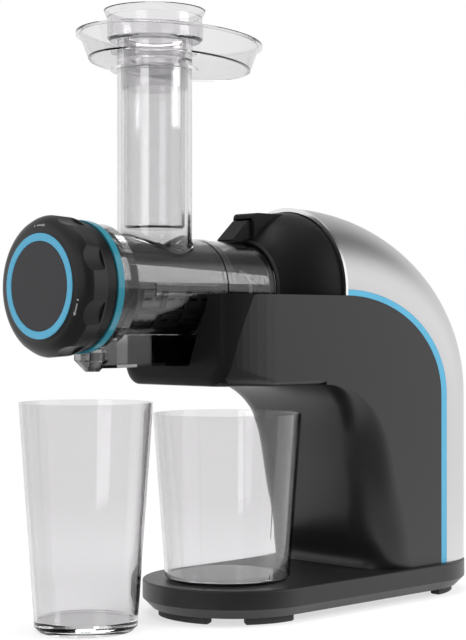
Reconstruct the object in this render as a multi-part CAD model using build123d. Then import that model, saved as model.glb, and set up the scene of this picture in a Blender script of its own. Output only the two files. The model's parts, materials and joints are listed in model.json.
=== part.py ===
from build123d import *
import math
import os

# Cold press juicer with a horizontal drum. Millimetres, +Z up, feet on z = 0.
# Lengths along the drum are measured from the cap's front face, which looks towards -X.
# On writing, everything moves by -LENGTH_MIDDLE, so that the origin lies under the middle.

# --- fits and walls ---------------------------------------------------------------------------
RUN_FIT = 0.05            # radial clearance of a shaft in its bearing
SEAT_GAP = 0.2            # gap between parts that are screwed or pressed together
FREE_GAP = 0.4            # gap between parts that move past each other
WALL = 2.5                # usual moulded wall
FAR = 500.0               # reach of cutting blocks, beyond every part

# --- heights, built up from the drum's axis ---------------------------------------------------
AXIS_Z = 235.4            # axis of the drum, the auger and the output shaft
SPINE_EDGE_RISE = 0.6     # lower edge of the spine cover at the arch, above the axis
SPINE_BEND_H = 79.4       # from that edge down to where the spine turns vertical
ARM_H = 64.5              # depth of the arm
TUBE_RISE = 152.2         # top of the feed tube above the axis
CHUTE_DROP = 51.4         # lower end of the pulp chute below the axis
SPOUT_DROP = 57.1         # tip of the spout below the axis

# --- lengths along the drum -------------------------------------------------------------------
CAP_GRIP_END_X = 22.0
CAP_END_X = 31.0
FLANGE_L = 18.6
CONE_L = 8.0
BARREL_L = 130.2          # visible barrel, from the cone to the dome
SPIGOT_L = 13.8           # spigot inside the socket
REAR_WALL_BACK = 5.2      # inner face of the rear wall before the barrel's end
BULKHEAD_GAP = 4.0        # free room behind the spigot
DOME_L = 30.0             # from the bulkhead to the arch
SPINE_REACH = 115.0       # from the arch to the spine's straight back run, at its centre line
TUBE_BACK = 44.4          # feed tube's axis behind the cone
CHUTE_L = 30.0

# --- pedestal ---------------------------------------------------------------------------------
BASE_R = 66.8             # radius of both ends of the stadium plan
BASE_OVERHANG = 2.2       # how far the spine's back stands behind the pedestal
BASE_TOP = 25.3
BASE_UNDERSIDE = 5.0      # also the height of the feet
BASE_CHAMFER = 7.0
BASE_TOP_ROUND = 1.5
BASE_RIM = 10.3           # rim left round the opening for the bottom cover
BOTTOM_COVER_T = 2.5
FOOT_INSET = 9.8          # feet are arcs about the two end centres
FOOT_W = 8.0
FOOT_CHAMFER = 0.8
VENTS = 9                 # slots in the bottom cover under the motor
VENT_W = 3.0
VENT_PITCH = 7.0
VENT_HALF_L = 20.0
BASE_SCREW_X = (40.0, 10.0)   # screws before the rear end centre
BASE_SCREW_IN = 20.0      # and in from the body's side
SCREW_HEAD_R = 4.0
SCREW_R = 2.0
BOSS_R = 6.0
BOSS_H = 14.0
GLAND_R = 4.8
GLAND_FLANGE = 1.6
GLAND_BORE_R = 3.3
GLAND_DROP = 8.8          # gland's axis below the pedestal's top

# --- column, arm and spine --------------------------------------------------------------------
BODY_HALF_W = 62.0        # half width of the body and radius of the spine's round
TRIM_L = 2.4              # bright lip before the spine cover
TRIM_PROUD = 0.3
STRIP_TOP_W = 4.4         # accent strip width at the arch
STRIP_LOW_W = 6.5         # accent strip width at the foot
STRIP_GAP = 0.1
NOSE_BACK = 16.1          # arm's front face behind the feed tube's axis
NOSE_L = 41.5             # rounded part of the arm's front end
NOSE_HALF_W = 47.5        # half width of the front face
NOSE_LIFT = 6.0           # rise of the underside at the front face
NOSE_LIFT_SHARE = 0.13    # share of the nose over which that rise fades
NOSE_CORNER = 16.0        # lower corner radius at the front face
ARM_CORNER = 4.0          # lower corner radius behind the nose
NOSE_STEPS = (0.0, 0.01, 0.03, 0.06, 0.1, 0.15, 0.22, 0.32, 0.45, 0.6, 0.8, 1.0)
SEAM_LOW = 3.0            # line between side walls and cradle, behind the front face
SEAM_MID = (9.1, 28.0)    # and above the underside
SEAM_BEND = (21.0, 4.0)   # and below the top
SEAM_CREST = (22.5, 1.2)
SEAM_TOP = 25.5
CRADLE_HALF_W = 50.2      # half width of the opening for the cradle
CRADLE_STEP = 1.0         # cradle's top below the arm's top
POCKET_BACK = 8.0         # hollow of the cradle behind the front face
TROUGH_GAP = 2.2          # trough's clearance round the barrel
SLOT_DROP = 54.4          # floor of the slot for duct and chute below the axis
SLOT_HALF_W = 18.0
SLOT_TOP = (31.0, 20.4)   # half width and drop where the slot meets the trough
COLUMN_BEND_R = 52.0      # bend from the arm's underside down into the column's front
COLUMN_BEND_FRONT = 1.0   # where that bend starts, before the bulkhead
COLUMN_LEAN = 12.75       # the column's front leans back by this, in degrees
COLUMN_ROUND_LOW = 32.0   # corner radius at the foot, below the bend and at its start
COLUMN_ROUND_MID = 24.0
COLUMN_ROUND_TOP = 8.0
COLUMN_BENDS = 8
COLUMN_RUNS = 4

# --- dome, seal and latch ---------------------------------------------------------------------
SEAL_W = 2.0              # docking seal between drum and dome, width and section
BULKHEAD_T = 3.0
BULKHEAD_R = 49.0
DOME_MID_FRONT = 1.0      # bulge of the dome, before the bulkhead and inside its edge
DOME_DROP = 7.7
POST_Y = 34.0
POST_DZ = 24.0
POST_R = 5.0
POST_PILOT_L = 13.0
SHAFT_SEAL_R = 14.0
KEY_FIRST = 30.0          # the drum's keys stand at this angle and every 120 degrees
KEY_W = 6.0
KEY_H = 1.5
LATCH_HALF_W = 8.0
LATCH_PIN_FRONT = 6.0     # latch pin before the bulkhead
LATCH_PIN_RISE = 9.8      # and above the barrel
LATCH_PIN_R = 1.5
LATCH_PIN_END = 1.8       # pin in the block beyond the lever, each side
LATCH_TOP = 6.0           # lever's top above the pin
LATCH_ROOM = 8.0          # roof of the lever's slot above the pin
LATCH_BLOCK_H = 11.9      # top of the block above the pin
LATCH_CHEEK = 3.0         # block beyond the lever, each side
SPRING_R = 2.7
SPRING_WIRE = 0.8
SPRING_HALF_W = 2.6
SPRING_TURNS = 4
SPRING_PITCH = 1.15
INTERLOCK_Y = -22.0
INTERLOCK_DROP = 21.0
INTERLOCK_PLUNGER_R = 1.5

# --- drum -------------------------------------------------------------------------------------
BARREL_R = 35.3
BARREL_WALL = 3.0
SPIGOT_R = 33.6
SOCKET_FIT = 0.3
SOCKET_WALL = 2.0
FLANGE_R = 43.1
FLANGE_BORE_R = 38.5
RING_H = 2.0              # teal ring on the flange
RING_W = 5.0
REAR_SEAT_R = 15.0
REAR_WALL_T = 3.0
TUBE_R = 26.2             # feed tube
TUBE_WALL = 2.5
TUBE_FLANGE_R = 30.8
TUBE_FLANGE_T = 1.8
SADDLE_ROUND = 5.0
CHUTE_HALF_W = 16.0       # pulp chute under the barrel
CHUTE_WALL = 2.0
DUCT_HALF_W = 14.0        # juice duct under the barrel
DUCT_TIP_HALF_W = 7.0
DUCT_TAPER_L = 10.0
DUCT_WALL = 2.0
DUCT_FRONT_DROP = 54.9
DUCT_REAR_DROP = 52.4
SPOUT_BACK = 14.6         # spout's axis behind the flange's front face
SPOUT_TIP_R = 4.9
SPOUT_MOUTH_R = 3.9
SPOUT_TOP_R = 12.5
SPOUT_BELL_R = 8.0
SPOUT_FLARE_H = 7.7
RAIL_BACK = 14.0          # ridges on the barrel's sides
RAIL_L = 61.0
RAIL_DZ = (-4.6, -1.5, 1.6)
RAIL_W = 2.0
RAIL_DEPTH = 2.4
COLLAR_BACK = 82.0        # raised collar round the barrel
COLLAR_W = 4.0
COLLAR_H = 0.8

# --- auger and strainer -----------------------------------------------------------------------
STRAINER_WALL = 1.6
STRAINER_BAYS = 4
STRAINER_BAR = 4.0
WINDOW_HALF_W = 6.5
WINDOW_DEGREES = (-75, -45, -15, 15, 45, 75)
MESH_T = 0.8
MESH_SLOTS = 8
MESH_SLOT_L = 7.0
FLIGHT_PITCH = 24.0
FLIGHT_T = 4.0
FLIGHT_DRAFT = 0.6
AUGER_CORE_R = 11.0
AUGER_PRESS_R = 20.0
AUGER_NECK_R = 9.0
AUGER_JOURNAL_R = 7.0
PADDLE_T = 4.0
HEX_AF = 12.0             # across the flats of the auger's drive shaft
HEX_FIT = 0.5
SLEEVE_BORE_R = 7.2

# --- cap --------------------------------------------------------------------------------------
CAP_R = 47.2
CAP_SKIRT_R = 44.0
CAP_RING_R_OUT = 35.1
CAP_RING_R_IN = 29.8
CAP_INLAY_T = 2.3
SCALLOPS = 8
SCALLOP_R = 30.0
SCALLOP_DEPTH = 2.2
PLUG_R = 38.1
PLUG_WALL = 3.0
PLUG_L = 12.6             # plug inside the flange
LUG_H = 2.0
LUG_L = 4.0
LUG_ANGLE = 24.0
LUG_FREE_TURN = -40.0     # turn of the cap that brings its lugs before their entry slots
GASKET_W = 3.0
GASKET_BACK = 2.1
BUSH_R = 10.0
BUSH_X0 = 16.0

# --- tray and pusher --------------------------------------------------------------------------
TRAY_YAW = 20.0           # the tray stands a little turned on the tube
TRAY_OFFSET = 25.0        # its middle from the tube's axis
TRAY_A = 88.5
TRAY_B = 59.0
TRAY_LEAN = 7.0
TRAY_RISE = 9.4           # tray's floor above the tube
TRAY_DEPTH = 16.5
TRAY_WALL = 2.0
TRAY_RIM_W = 4.0
TRAY_RIM_T = 1.8
TRAY_SPIGOT_L = 12.6
TRAY_SPIGOT_FIT = 0.3
CHIMNEY_H = 10.0
CHIMNEY_WALL = 3.0
PUSHER_R = 21.3
PUSHER_FIT = 0.6
PUSHER_END_RISE = 41.6    # lower end of the pusher above the axis
PUSHER_HEAD_H = 23.0
PUSHER_HEAD_R = 33.4
PUSHER_FLARE_R = 35.7
PUSHER_FLARE_H = 5.0
PUSHER_WALL = 2.0

# --- drive ------------------------------------------------------------------------------------
TEETH_BIG = 48
TEETH_SMALL = 12
MODULE_1 = 1.8            # counter pinion and output gear
MODULE_2 = 1.25           # motor pinion and counter gear
PRESSURE = math.radians(20)
BACKLASH = 0.25
WHEEL_ADDENDUM = 0.6
PINION_ADDENDUM = 0.95
ROOT_DEPTH = 1.25
OUT_GEAR_W = 14.0
COUNTER_GEAR_W = 8.0
OUT_SHAFT_R = 8.0
COUNTER_SHAFT_R = 4.0
MOTOR_SHAFT_R = 3.0
COUPLING_FRONT = 3.8      # coupling behind the barrel's end
COUPLING_R = 12.0
COUPLING_BORE_L = 14.0
HEX_REACH = 12.0          # hexagon's length in the coupling
BEARING_W = 8.0
BEARING_R = 16.0
BEARING_RING = 2.2
BUSH_WALL = 3.0
BUSH_BOSS_WALL = 2.5
CASE_FRONT = 1.0          # gearbox before the arch
CASE_DEPTH = 24.0         # chamber of the output stage, with its front wall
COVER_DEPTH = 16.0        # chamber of the motor stage, with its front wall
MOTOR_PLATE_T = 6.0
MOTOR_L = 72.0
MOTOR_R = 36.0
MOTOR_CAN_T = 2.5
MOTOR_BEARING_R = 8.0
MOTOR_BEARING_W = 4.5
MOTOR_SCREW_Y = 25.0
MOTOR_SCREW_DROP = 10.0
ROTOR_R = 22.0
ROTOR_SLOTS = 8
FAN_BLADES = 7
FAN_HUB_R = 8.0
FAN_W = 9.0

# --- electrics --------------------------------------------------------------------------------
BOARD_FRONT = 45.0        # board before the spine's back run
BOARD_RISE = 28.7         # and above the pedestal
BOARD_L = 36.0
BOARD_H = 46.0
BOARD_T = 1.6
STANDOFF_H = 6.0
STANDOFF_R = 2.5
SINK_FINS = 6
SINK_PITCH = 5.2
SWITCH_FRONT = 35.0       # switch before the spine's back run
SWITCH_RISE = 40.7        # and above the pedestal
SWITCH_L = 22.0
SWITCH_H = 28.0
SWITCH_BEZEL = 2.0
SWITCH_RIM = 3.0
SWITCH_PIN_R = 1.2
ROCKER_DEPTH = 3.0

# --- vessels ----------------------------------------------------------------------------------
TUMBLER_BACK = 11.0       # tumbler's axis behind the spout's
TUMBLER_Y = 20.0
TUMBLER_R_LOW = 35.7
TUMBLER_R_TOP = 46.3
TUMBLER_UNDER_SPOUT = 21.7
TUMBLER_WALL = 2.0
TUMBLER_FLOOR = 8.0
CONTAINER_BACK = 6.5      # container's axis behind the chute's middle
CONTAINER_R_LOW = 45.8
CONTAINER_R_TOP = 54.3
CONTAINER_UNDER_ARM = 21.2
CONTAINER_WALL = 2.0
CONTAINER_FLOOR = 3.0
VESSEL_FOOT_ROUND = 3.0

# --- worked out: heights ----------------------------------------------------------------------
SPINE_EDGE_Z = AXIS_Z + SPINE_EDGE_RISE
BEND_Z = SPINE_EDGE_Z - SPINE_BEND_H
ARM_TOP = SPINE_EDGE_Z - STRIP_TOP_W - STRIP_GAP
ARM_UNDER = ARM_TOP - ARM_H
TUBE_TOP = AXIS_Z + TUBE_RISE
TRAY_FLOOR = TUBE_TOP + TRAY_RISE
TRAY_RIM = TRAY_FLOOR + TRAY_DEPTH
CHIMNEY_TOP = TRAY_FLOOR + CHIMNEY_H
TRAY_SPIGOT_Z = TUBE_TOP - TRAY_SPIGOT_L
PUSHER_BOTTOM = AXIS_Z + PUSHER_END_RISE
PUSHER_TOP = CHIMNEY_TOP + PUSHER_HEAD_H
CHUTE_BOTTOM = AXIS_Z - CHUTE_DROP
SPOUT_TIP = AXIS_Z - SPOUT_DROP
LATCH_PIN_Z = AXIS_Z + BARREL_R + LATCH_PIN_RISE
GLAND_Z = BASE_TOP - GLAND_DROP
BOARD_Z = BASE_TOP + BOARD_RISE
SWITCH_Z = BASE_TOP + SWITCH_RISE
CENTRES_1 = MODULE_1 * (TEETH_BIG + TEETH_SMALL) / 2
CENTRES_2 = MODULE_2 * (TEETH_BIG + TEETH_SMALL) / 2
COUNTER_Z = AXIS_Z - CENTRES_1
MOTOR_Z = COUNTER_Z - CENTRES_2
TUMBLER_H = SPOUT_TIP - TUMBLER_UNDER_SPOUT
CONTAINER_H = ARM_UNDER - BASE_TOP - CONTAINER_UNDER_ARM

# --- worked out: lengths ----------------------------------------------------------------------
FLANGE_X = CAP_END_X + FREE_GAP
FLANGE_END_X = FLANGE_X + FLANGE_L
CONE_END_X = FLANGE_END_X + CONE_L
BARREL_END_X = CONE_END_X + BARREL_L
SPIGOT_END_X = BARREL_END_X + SPIGOT_L
REAR_WALL_X = BARREL_END_X - REAR_WALL_BACK
BULKHEAD_X = SPIGOT_END_X + BULKHEAD_GAP
ARCH_X = BULKHEAD_X + DOME_L
SPINE_X = ARCH_X + SPINE_REACH
TUBE_X = CONE_END_X + TUBE_BACK
SPOUT_X = FLANGE_X + SPOUT_BACK
CHUTE_X1 = REAR_WALL_X - 1
CHUTE_X0 = CHUTE_X1 - CHUTE_L
DUCT_REAR_X = CHUTE_X0 - 4
STRAINER_X0 = CONE_END_X + 2
STRAINER_X1 = CHUTE_X0 - 2
FLIGHT_X0 = CONE_END_X - 4
FLIGHT_END_X = CHUTE_X0 - 4.4
PLUG_END_X = FLANGE_X + PLUG_L
BUSH_END_X = PLUG_END_X + 2
GASKET_X = FLANGE_X + GASKET_BACK
NOSE_X = TUBE_X + NOSE_BACK
NOSE_END_X = NOSE_X + NOSE_L
COLUMN_BEND_X = BULKHEAD_X - COLUMN_BEND_FRONT
DOME_X = BARREL_END_X + SEAL_W
LATCH_PIN_X = BULKHEAD_X - LATCH_PIN_FRONT
COUPLING_X = BARREL_END_X + COUPLING_FRONT
HEX_END_X = COUPLING_X + HEX_REACH
CASE_X = ARCH_X - CASE_FRONT
CASE_SPLIT_X = CASE_X + CASE_DEPTH
MOTOR_PLATE_X = CASE_SPLIT_X + COVER_DEPTH
MOTOR_X = MOTOR_PLATE_X + MOTOR_PLATE_T
MOTOR_END_X = MOTOR_X + MOTOR_L
FRONT_BEARING_X = CASE_X - 6
REAR_BEARING_X = CASE_SPLIT_X - 1
OUT_GEAR_X = CASE_X + WALL + 4.5
COUNTER_GEAR_X = CASE_SPLIT_X + WALL + 2.5
BOARD_X = SPINE_X - BOARD_FRONT
SWITCH_X = SPINE_X - SWITCH_FRONT
TUMBLER_X = SPOUT_X + TUMBLER_BACK
CONTAINER_X = (CHUTE_X0 + CHUTE_X1) / 2 + CONTAINER_BACK
BASE_FRONT_X = CONTAINER_X + CONTAINER_BACK
BASE_REAR_X = SPINE_X + BODY_HALF_W - BASE_R - BASE_OVERHANG
LENGTH_MIDDLE = (SPINE_X + BODY_HALF_W) / 2

# --- worked out: radii and widths -------------------------------------------------------------
BODY_INNER_W = BODY_HALF_W - WALL
FOOT_R_OUT = BASE_R - FOOT_INSET
FOOT_R_IN = FOOT_R_OUT - FOOT_W
BARREL_BORE_R = BARREL_R - BARREL_WALL
TUBE_BORE_R = TUBE_R - TUBE_WALL
STRAINER_R = BARREL_BORE_R - FREE_GAP
MESH_R = STRAINER_R - STRAINER_WALL
FLIGHT_R = MESH_R - MESH_T - FREE_GAP
RING_R = FLANGE_R + RING_H
SOCKET_BORE_R = SPIGOT_R + SOCKET_FIT
SOCKET_R = BARREL_R + SOCKET_WALL
TROUGH_R = BARREL_R + TROUGH_GAP
BUSH_OUT_R = COUNTER_SHAFT_R + BUSH_WALL
BUSH_BOSS_R = BUSH_OUT_R + BUSH_BOSS_WALL
ROCKER_Y = BODY_HALF_W - ROCKER_DEPTH


# --- helpers ----------------------------------------------------------------------------------
def rod_x(radius, x0, x1, z=AXIS_Z, y=0.0):
    """Round bar along X."""
    return Pos((x0 + x1) / 2, y, z) * Rot(0, 90, 0) * Cylinder(radius, x1 - x0)


def tube_x(r_out, r_in, x0, x1, z=AXIS_Z, y=0.0):
    """Tube along X."""
    return rod_x(r_out, x0, x1, z, y) - rod_x(r_in, x0 - 1, x1 + 1, z, y)


def rod_z(radius, x, y, z0, z1):
    """Round bar along Z."""
    return Pos(x, y, (z0 + z1) / 2) * Cylinder(radius, z1 - z0)


def rod_y(radius, half_l, x, z, y=0.0):
    """Round bar along Y."""
    return Pos(x, y, z) * Rot(90, 0, 0) * Cylinder(radius, 2 * half_l)


def slab(x0, x1, y0, y1, z0, z1):
    """Box between two corners."""
    return Pos((x0 + x1) / 2, (y0 + y1) / 2, (z0 + z1) / 2) * Box(x1 - x0, y1 - y0, z1 - z0)


def box_about(x0, x1, half_w, z0, z1):
    """Box between two X and two Z values, as wide on both sides of the middle plane."""
    return slab(x0, x1, -half_w, half_w, z0, z1)


def side_plate(edges, half_w, low=None):
    """Face in the XZ plane, pulled from low, or from -half_w, to half_w along Y."""
    start = -half_w if low is None else low
    return Pos(0, start, 0) * extrude(make_face(edges), amount=half_w - start, dir=(0, 1, 0))


def turned_x(edges, z=AXIS_Z):
    """Closed outline of (x, radius) edges in the XZ plane, turned about the X axis at height z."""
    return Pos(0, 0, z) * revolve(make_face(edges), Axis.X)


def turned_z(edges, x, y, z=0.0):
    """Closed outline of (radius, z) edges in the XZ plane, turned about the Z axis."""
    return Pos(x, y, z) * revolve(make_face(edges), Axis.Z)


def outline(points):
    """Closed polyline in the XZ plane."""
    return Polyline(*[(a, 0, b) for a, b in points], close=True).edges()


def wedge(reach, half_angle):
    """Corner points of a narrow triangle with its tip at the origin, opening along the second axis."""
    half = math.radians(half_angle)
    return [(0, 0), (-reach * math.sin(half), reach * math.cos(half)),
            (reach * math.sin(half), reach * math.cos(half))]


def about_axis(shape, degrees, centre_z=AXIS_Z):
    """A shape turned about the X axis at centre_z."""
    return Pos(0, 0, centre_z) * Rot(degrees, 0, 0) * Pos(0, 0, -centre_z) * shape


def ring_of(shape, count, centre_z=AXIS_Z, first=0.0):
    """Copies of a shape, spaced evenly about the X axis at centre_z."""
    return [about_axis(shape, first + i * 360 / count, centre_z) for i in range(count)]


# --- pedestal ---------------------------------------------------------------------------------
def stadium(radius, z0, z1):
    """Stadium prism about the two end centres of the pedestal."""
    ends = [rod_z(radius, x, 0, z0, z1) for x in (BASE_FRONT_X, BASE_REAR_X)]
    return ends[0] + ends[1] + slab(BASE_FRONT_X, BASE_REAR_X, -radius, radius, z0, z1)


def base_screw_places():
    """(x, y) of the four screws that hold the column on the pedestal."""
    half = BODY_HALF_W - BASE_SCREW_IN
    return [(BASE_REAR_X - front, y) for front in BASE_SCREW_X for y in (-half, half)]


def base_plate():
    """Hollow pedestal with posts for the column's screws and a hole for the cord gland."""
    body = stadium(BASE_R, BASE_UNDERSIDE, BASE_TOP)
    body = fillet(body.edges().group_by(Axis.Z)[-1], BASE_TOP_ROUND)
    body = chamfer(body.edges().group_by(Axis.Z)[0], BASE_CHAMFER)
    body -= stadium(BASE_R - BASE_RIM, BASE_UNDERSIDE - 1, BASE_TOP - WALL)
    for x, y in base_screw_places():
        body += rod_z(BOSS_R, x, y, BASE_UNDERSIDE + BOTTOM_COVER_T + SEAT_GAP, BASE_TOP - WALL)
        body -= rod_z(SCREW_R + 0.3, x, y, 0, BASE_TOP + 1)
    end = BASE_REAR_X + BASE_R
    return body - rod_x(GLAND_R + SEAT_GAP, BASE_REAR_X, end + 1, GLAND_Z)


def base_bottom():
    """Cover under the pedestal, with screw holes and a row of vents."""
    body = stadium(BASE_R - BASE_RIM - SEAT_GAP, BASE_UNDERSIDE, BASE_UNDERSIDE + BOTTOM_COVER_T)
    for x, y in base_screw_places():
        body -= rod_z(SCREW_R + 0.3, x, y, 0, BASE_TOP)
        body -= rod_z(SCREW_HEAD_R + 0.3, x, y, 0, BASE_UNDERSIDE + 1.6)
    first = (BASE_FRONT_X + BASE_REAR_X) / 2 - VENT_PITCH * (VENTS - 1) / 2
    for i in range(VENTS):
        middle = first + i * VENT_PITCH
        body -= box_about(middle - VENT_W / 2, middle + VENT_W / 2, VENT_HALF_L, 0, BASE_TOP)
    return body


def base_screws():
    """Self-tapping screws up through the pedestal into the column's bosses."""
    head = BASE_UNDERSIDE + 1.6
    return [rod_z(SCREW_R, x, y, head, BASE_TOP + BOSS_H - 2) + rod_z(SCREW_HEAD_R, x, y, head - 1.4, head)
            for x, y in base_screw_places()]


def arc_pad(centre_x, middle_deg, half_deg):
    """Rubber foot, an arc about one end of the pedestal."""
    ring = rod_z(FOOT_R_OUT, centre_x, 0, 0, BASE_UNDERSIDE)
    ring -= rod_z(FOOT_R_IN, centre_x, 0, -1, BASE_UNDERSIDE + 1)
    sector = make_face(Polyline(*wedge(BASE_R * 2, half_deg), close=True).edges())
    sector = Rot(0, 0, middle_deg - 90) * extrude(sector, amount=BASE_UNDERSIDE + 2)
    pad = ring & (Pos(centre_x, 0, -1) * sector)
    return chamfer(pad.edges().group_by(Axis.Z)[0], FOOT_CHAMFER)


def rubber_feet():
    """Three feet under the front end and two under the rear end."""
    pads = [arc_pad(BASE_FRONT_X, deg, half) for deg, half in ((180, 27), (106, 20), (254, 20))]
    return pads + [arc_pad(BASE_REAR_X, deg, 14) for deg in (-72, 72)]


def cord_gland():
    """Gland for the mains cord in the pedestal's rear end."""
    end = BASE_REAR_X + BASE_R
    body = rod_x(GLAND_R, end - 9, end + 1.4, GLAND_Z)
    body += rod_x(GLAND_R + GLAND_FLANGE, end, end + 1.8, GLAND_Z)
    return body - rod_x(GLAND_BORE_R, end - 10, end + 3, GLAND_Z)


# --- column, arm and spine --------------------------------------------------------------------
def bend_edges(reach, rise, foot_z):
    """Quarter ellipse from above BEND_Z over to the vertical run, then straight down to foot_z."""
    arc = Plane.XZ * EllipticalCenterArc((ARCH_X, BEND_Z), reach, rise, 0, arc_size=90)
    run = Line((ARCH_X + reach, 0, BEND_Z), (ARCH_X + reach, 0, foot_z))
    return arc, run


def spine_cover():
    """Half-round shell swept over the top and down the back."""
    foot = BASE_TOP + SEAT_GAP
    arc, run = bend_edges(SPINE_REACH, SPINE_BEND_H, foot)
    path = Wire([arc.edge(), run.edge()])
    plane = Plane(origin=(ARCH_X, 0, SPINE_EDGE_Z), x_dir=(0, 1, 0), z_dir=(1, 0, 0))
    half = Circle(BODY_HALF_W) - Circle(BODY_HALF_W - WALL)
    half &= Pos(0, BODY_HALF_W / 2) * Rectangle(BODY_HALF_W * 2, BODY_HALF_W)
    return sweep(plane * half, path=path)


def arch_trim():
    """Thin bright lip before the spine cover."""
    r_out, r_in = BODY_HALF_W + TRIM_PROUD, BODY_HALF_W - WALL
    front = ARCH_X - TRIM_L
    lip = tube_x(r_out, r_in, front, ARCH_X, SPINE_EDGE_Z)
    lip &= box_about(0, ARCH_X + 1, FAR, SPINE_EDGE_Z, FAR)
    legs = box_about(front, ARCH_X, r_out, ARM_TOP + SEAT_GAP, SPINE_EDGE_Z)
    return lip + (legs - box_about(front - 1, ARCH_X + 1, r_in, 0, FAR))


def accent_strip(side):
    """Coloured strip that follows the spine cover's lower edge."""
    foot = BASE_TOP + SEAT_GAP
    outer_arc, outer_run = bend_edges(SPINE_REACH - STRIP_GAP, SPINE_BEND_H - STRIP_GAP, foot)
    inner_arc, inner_run = bend_edges(SPINE_REACH - STRIP_LOW_W, SPINE_BEND_H - STRIP_TOP_W, foot)
    close_top = Line(outer_arc @ 1, inner_arc @ 1)
    close_low = Line(outer_run @ 1, inner_run @ 1)
    edges = [outer_arc.edge(), outer_run.edge(), close_low.edge(), inner_run.edge(),
             inner_arc.edge(), close_top.edge()]
    low = BODY_INNER_W if side > 0 else -BODY_HALF_W
    return side_plate(edges, low + WALL, low)


def arm_section(x, half_w, under, top, corner):
    """Cross-section of the arm at x, with rounded lower corners."""
    plane = Plane(origin=(x, 0, 0), x_dir=(0, 1, 0), z_dir=(1, 0, 0))
    face = Pos(0, (top + under) / 2) * Rectangle(2 * half_w, top - under)
    return plane * fillet(face.vertices().group_by(Axis.Y)[0], corner)


def arm_nose(inset):
    """Rounded front end of the arm, lofted along X."""
    sections = []
    for share in NOSE_STEPS:
        x = NOSE_X + inset + share * (NOSE_L - inset)
        swell = math.sqrt(1 - (1 - share) ** 2)
        half_w = NOSE_HALF_W + swell * (BODY_HALF_W - NOSE_HALF_W) - inset
        lift = NOSE_LIFT * max(0.0, 1 - share / NOSE_LIFT_SHARE) ** 3
        corner = NOSE_CORNER + share * (ARM_CORNER - NOSE_CORNER) - inset
        sections.append(arm_section(x, half_w, ARM_UNDER + lift + inset, ARM_TOP - inset, corner))
    return loft(sections, ruled=True)


def arm_block(inset):
    """Arm as a block smaller by inset all round: nose, straight run and the part over the column."""
    under, top = ARM_UNDER + inset, ARM_TOP - inset
    half_w = BODY_HALF_W - inset
    bend = COLUMN_BEND_X + COLUMN_ROUND_TOP
    run = extrude(arm_section(NOSE_END_X, half_w, under, top, ARM_CORNER - inset), amount=bend - NOSE_END_X)
    return arm_nose(inset) + run + box_about(bend, SPINE_X, half_w, under, top)


def column_levels(inset):
    """(height, front face, corner radius) of the column's sections, from the arm down to the foot."""
    levels = []
    centre_z = ARM_UNDER - COLUMN_BEND_R
    radius = COLUMN_BEND_R + inset
    bends = 8
    for i in range(bends + 1):
        share = i / bends
        turn = math.radians(share * (90 - COLUMN_LEAN))
        corner = COLUMN_ROUND_TOP + share * (COLUMN_ROUND_MID - COLUMN_ROUND_TOP)
        levels.append((centre_z + radius * math.cos(turn), COLUMN_BEND_X + radius * math.sin(turn), corner))
    bend_z, bend_x, _ = levels[-1]
    foot = BASE_TOP + SEAT_GAP
    runs = 4
    for i in range(1, runs + 1):
        share = i / runs
        z = bend_z + share * (foot - bend_z)
        front = bend_x + (bend_z - z) * math.tan(math.radians(COLUMN_LEAN))
        levels.append((z, front, COLUMN_ROUND_MID + share * (COLUMN_ROUND_LOW - COLUMN_ROUND_MID)))
    return levels


def column_block(inset):
    """Column lofted through rounded sections, from the arm's underside down to the pedestal."""
    sections = []
    for z, front, corner in column_levels(inset):
        depth = SPINE_X - front
        face = Rectangle(depth, 2 * (BODY_HALF_W - inset))
        front_corners = face.vertices().group_by(Axis.X)[0]
        face = fillet(front_corners, corner - inset)
        sections.append(Pos(front + depth / 2, 0, z) * face)
    return loft(sections)


def seam_arcs(shift):
    """Line between the side walls and the cradle, from the arm's underside up to its top."""
    front = NOSE_X + shift
    low = (front + SEAM_LOW, 0, ARM_UNDER)
    middle = (front + SEAM_MID[0], 0, ARM_UNDER + SEAM_MID[1])
    bend = (front + SEAM_BEND[0], 0, ARM_TOP - SEAM_BEND[1])
    crest = (front + SEAM_CREST[0], 0, ARM_TOP - SEAM_CREST[1])
    top = (front + SEAM_TOP, 0, ARM_TOP)
    return ThreePointArc(low, middle, bend), ThreePointArc(bend, crest, top)


def side_region():
    """Side view of the side walls: behind the seam and in front of the accent strips."""
    foot = BASE_TOP + SEAT_GAP
    arc, run = bend_edges(SPINE_REACH - STRIP_LOW_W - STRIP_GAP,
                          SPINE_BEND_H - STRIP_TOP_W - STRIP_GAP, foot)
    rise, crest = seam_arcs(0)
    low = (NOSE_X + SEAM_LOW, 0, foot)
    edges = [arc.edge(), run.edge(), Line(run @ 1, low).edge(), Line(low, rise @ 0).edge(),
             rise.edge(), crest.edge(), Line(crest @ 1, arc @ 1).edge()]
    return side_plate(edges, BODY_HALF_W + 1)


def housing_shell():
    """Both half shells in one, before they part at the middle plane."""
    shell = (arm_block(0) + column_block(0)) & side_region()
    shell -= arm_block(WALL) + column_block(WALL)
    shell -= box_about(NOSE_X, ARCH_X, CRADLE_HALF_W, ARM_UNDER + WALL, FAR)
    shell -= box_about(BULKHEAD_X, SPINE_X, BODY_INNER_W, ARM_TOP - 2 * WALL, FAR)
    return shell - box_about(CHUTE_X0 - 3, CHUTE_X1 + 3, CHUTE_HALF_W + 4, ARM_UNDER - 5, ARM_UNDER + 10)


def housing_right(shell):
    """Near half shell, with the ribbed bosses for the base screws."""
    half = shell & slab(0, FAR, -FAR, 0, 0, FAR)
    foot = BASE_TOP + SEAT_GAP
    for x, y in base_screw_places():
        if y < 0:
            rib_y = -BODY_HALF_W + WALL / 2
            half += slab(x - 1.2, x + 1.2, rib_y, y - BOSS_R + 1, foot, foot + BOSS_H)
            half += rod_z(BOSS_R, x, y, foot, foot + BOSS_H)
            half -= rod_z(SCREW_R + 0.1, x, y, foot - 1, foot + BOSS_H - 1.5)
    return half


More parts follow.
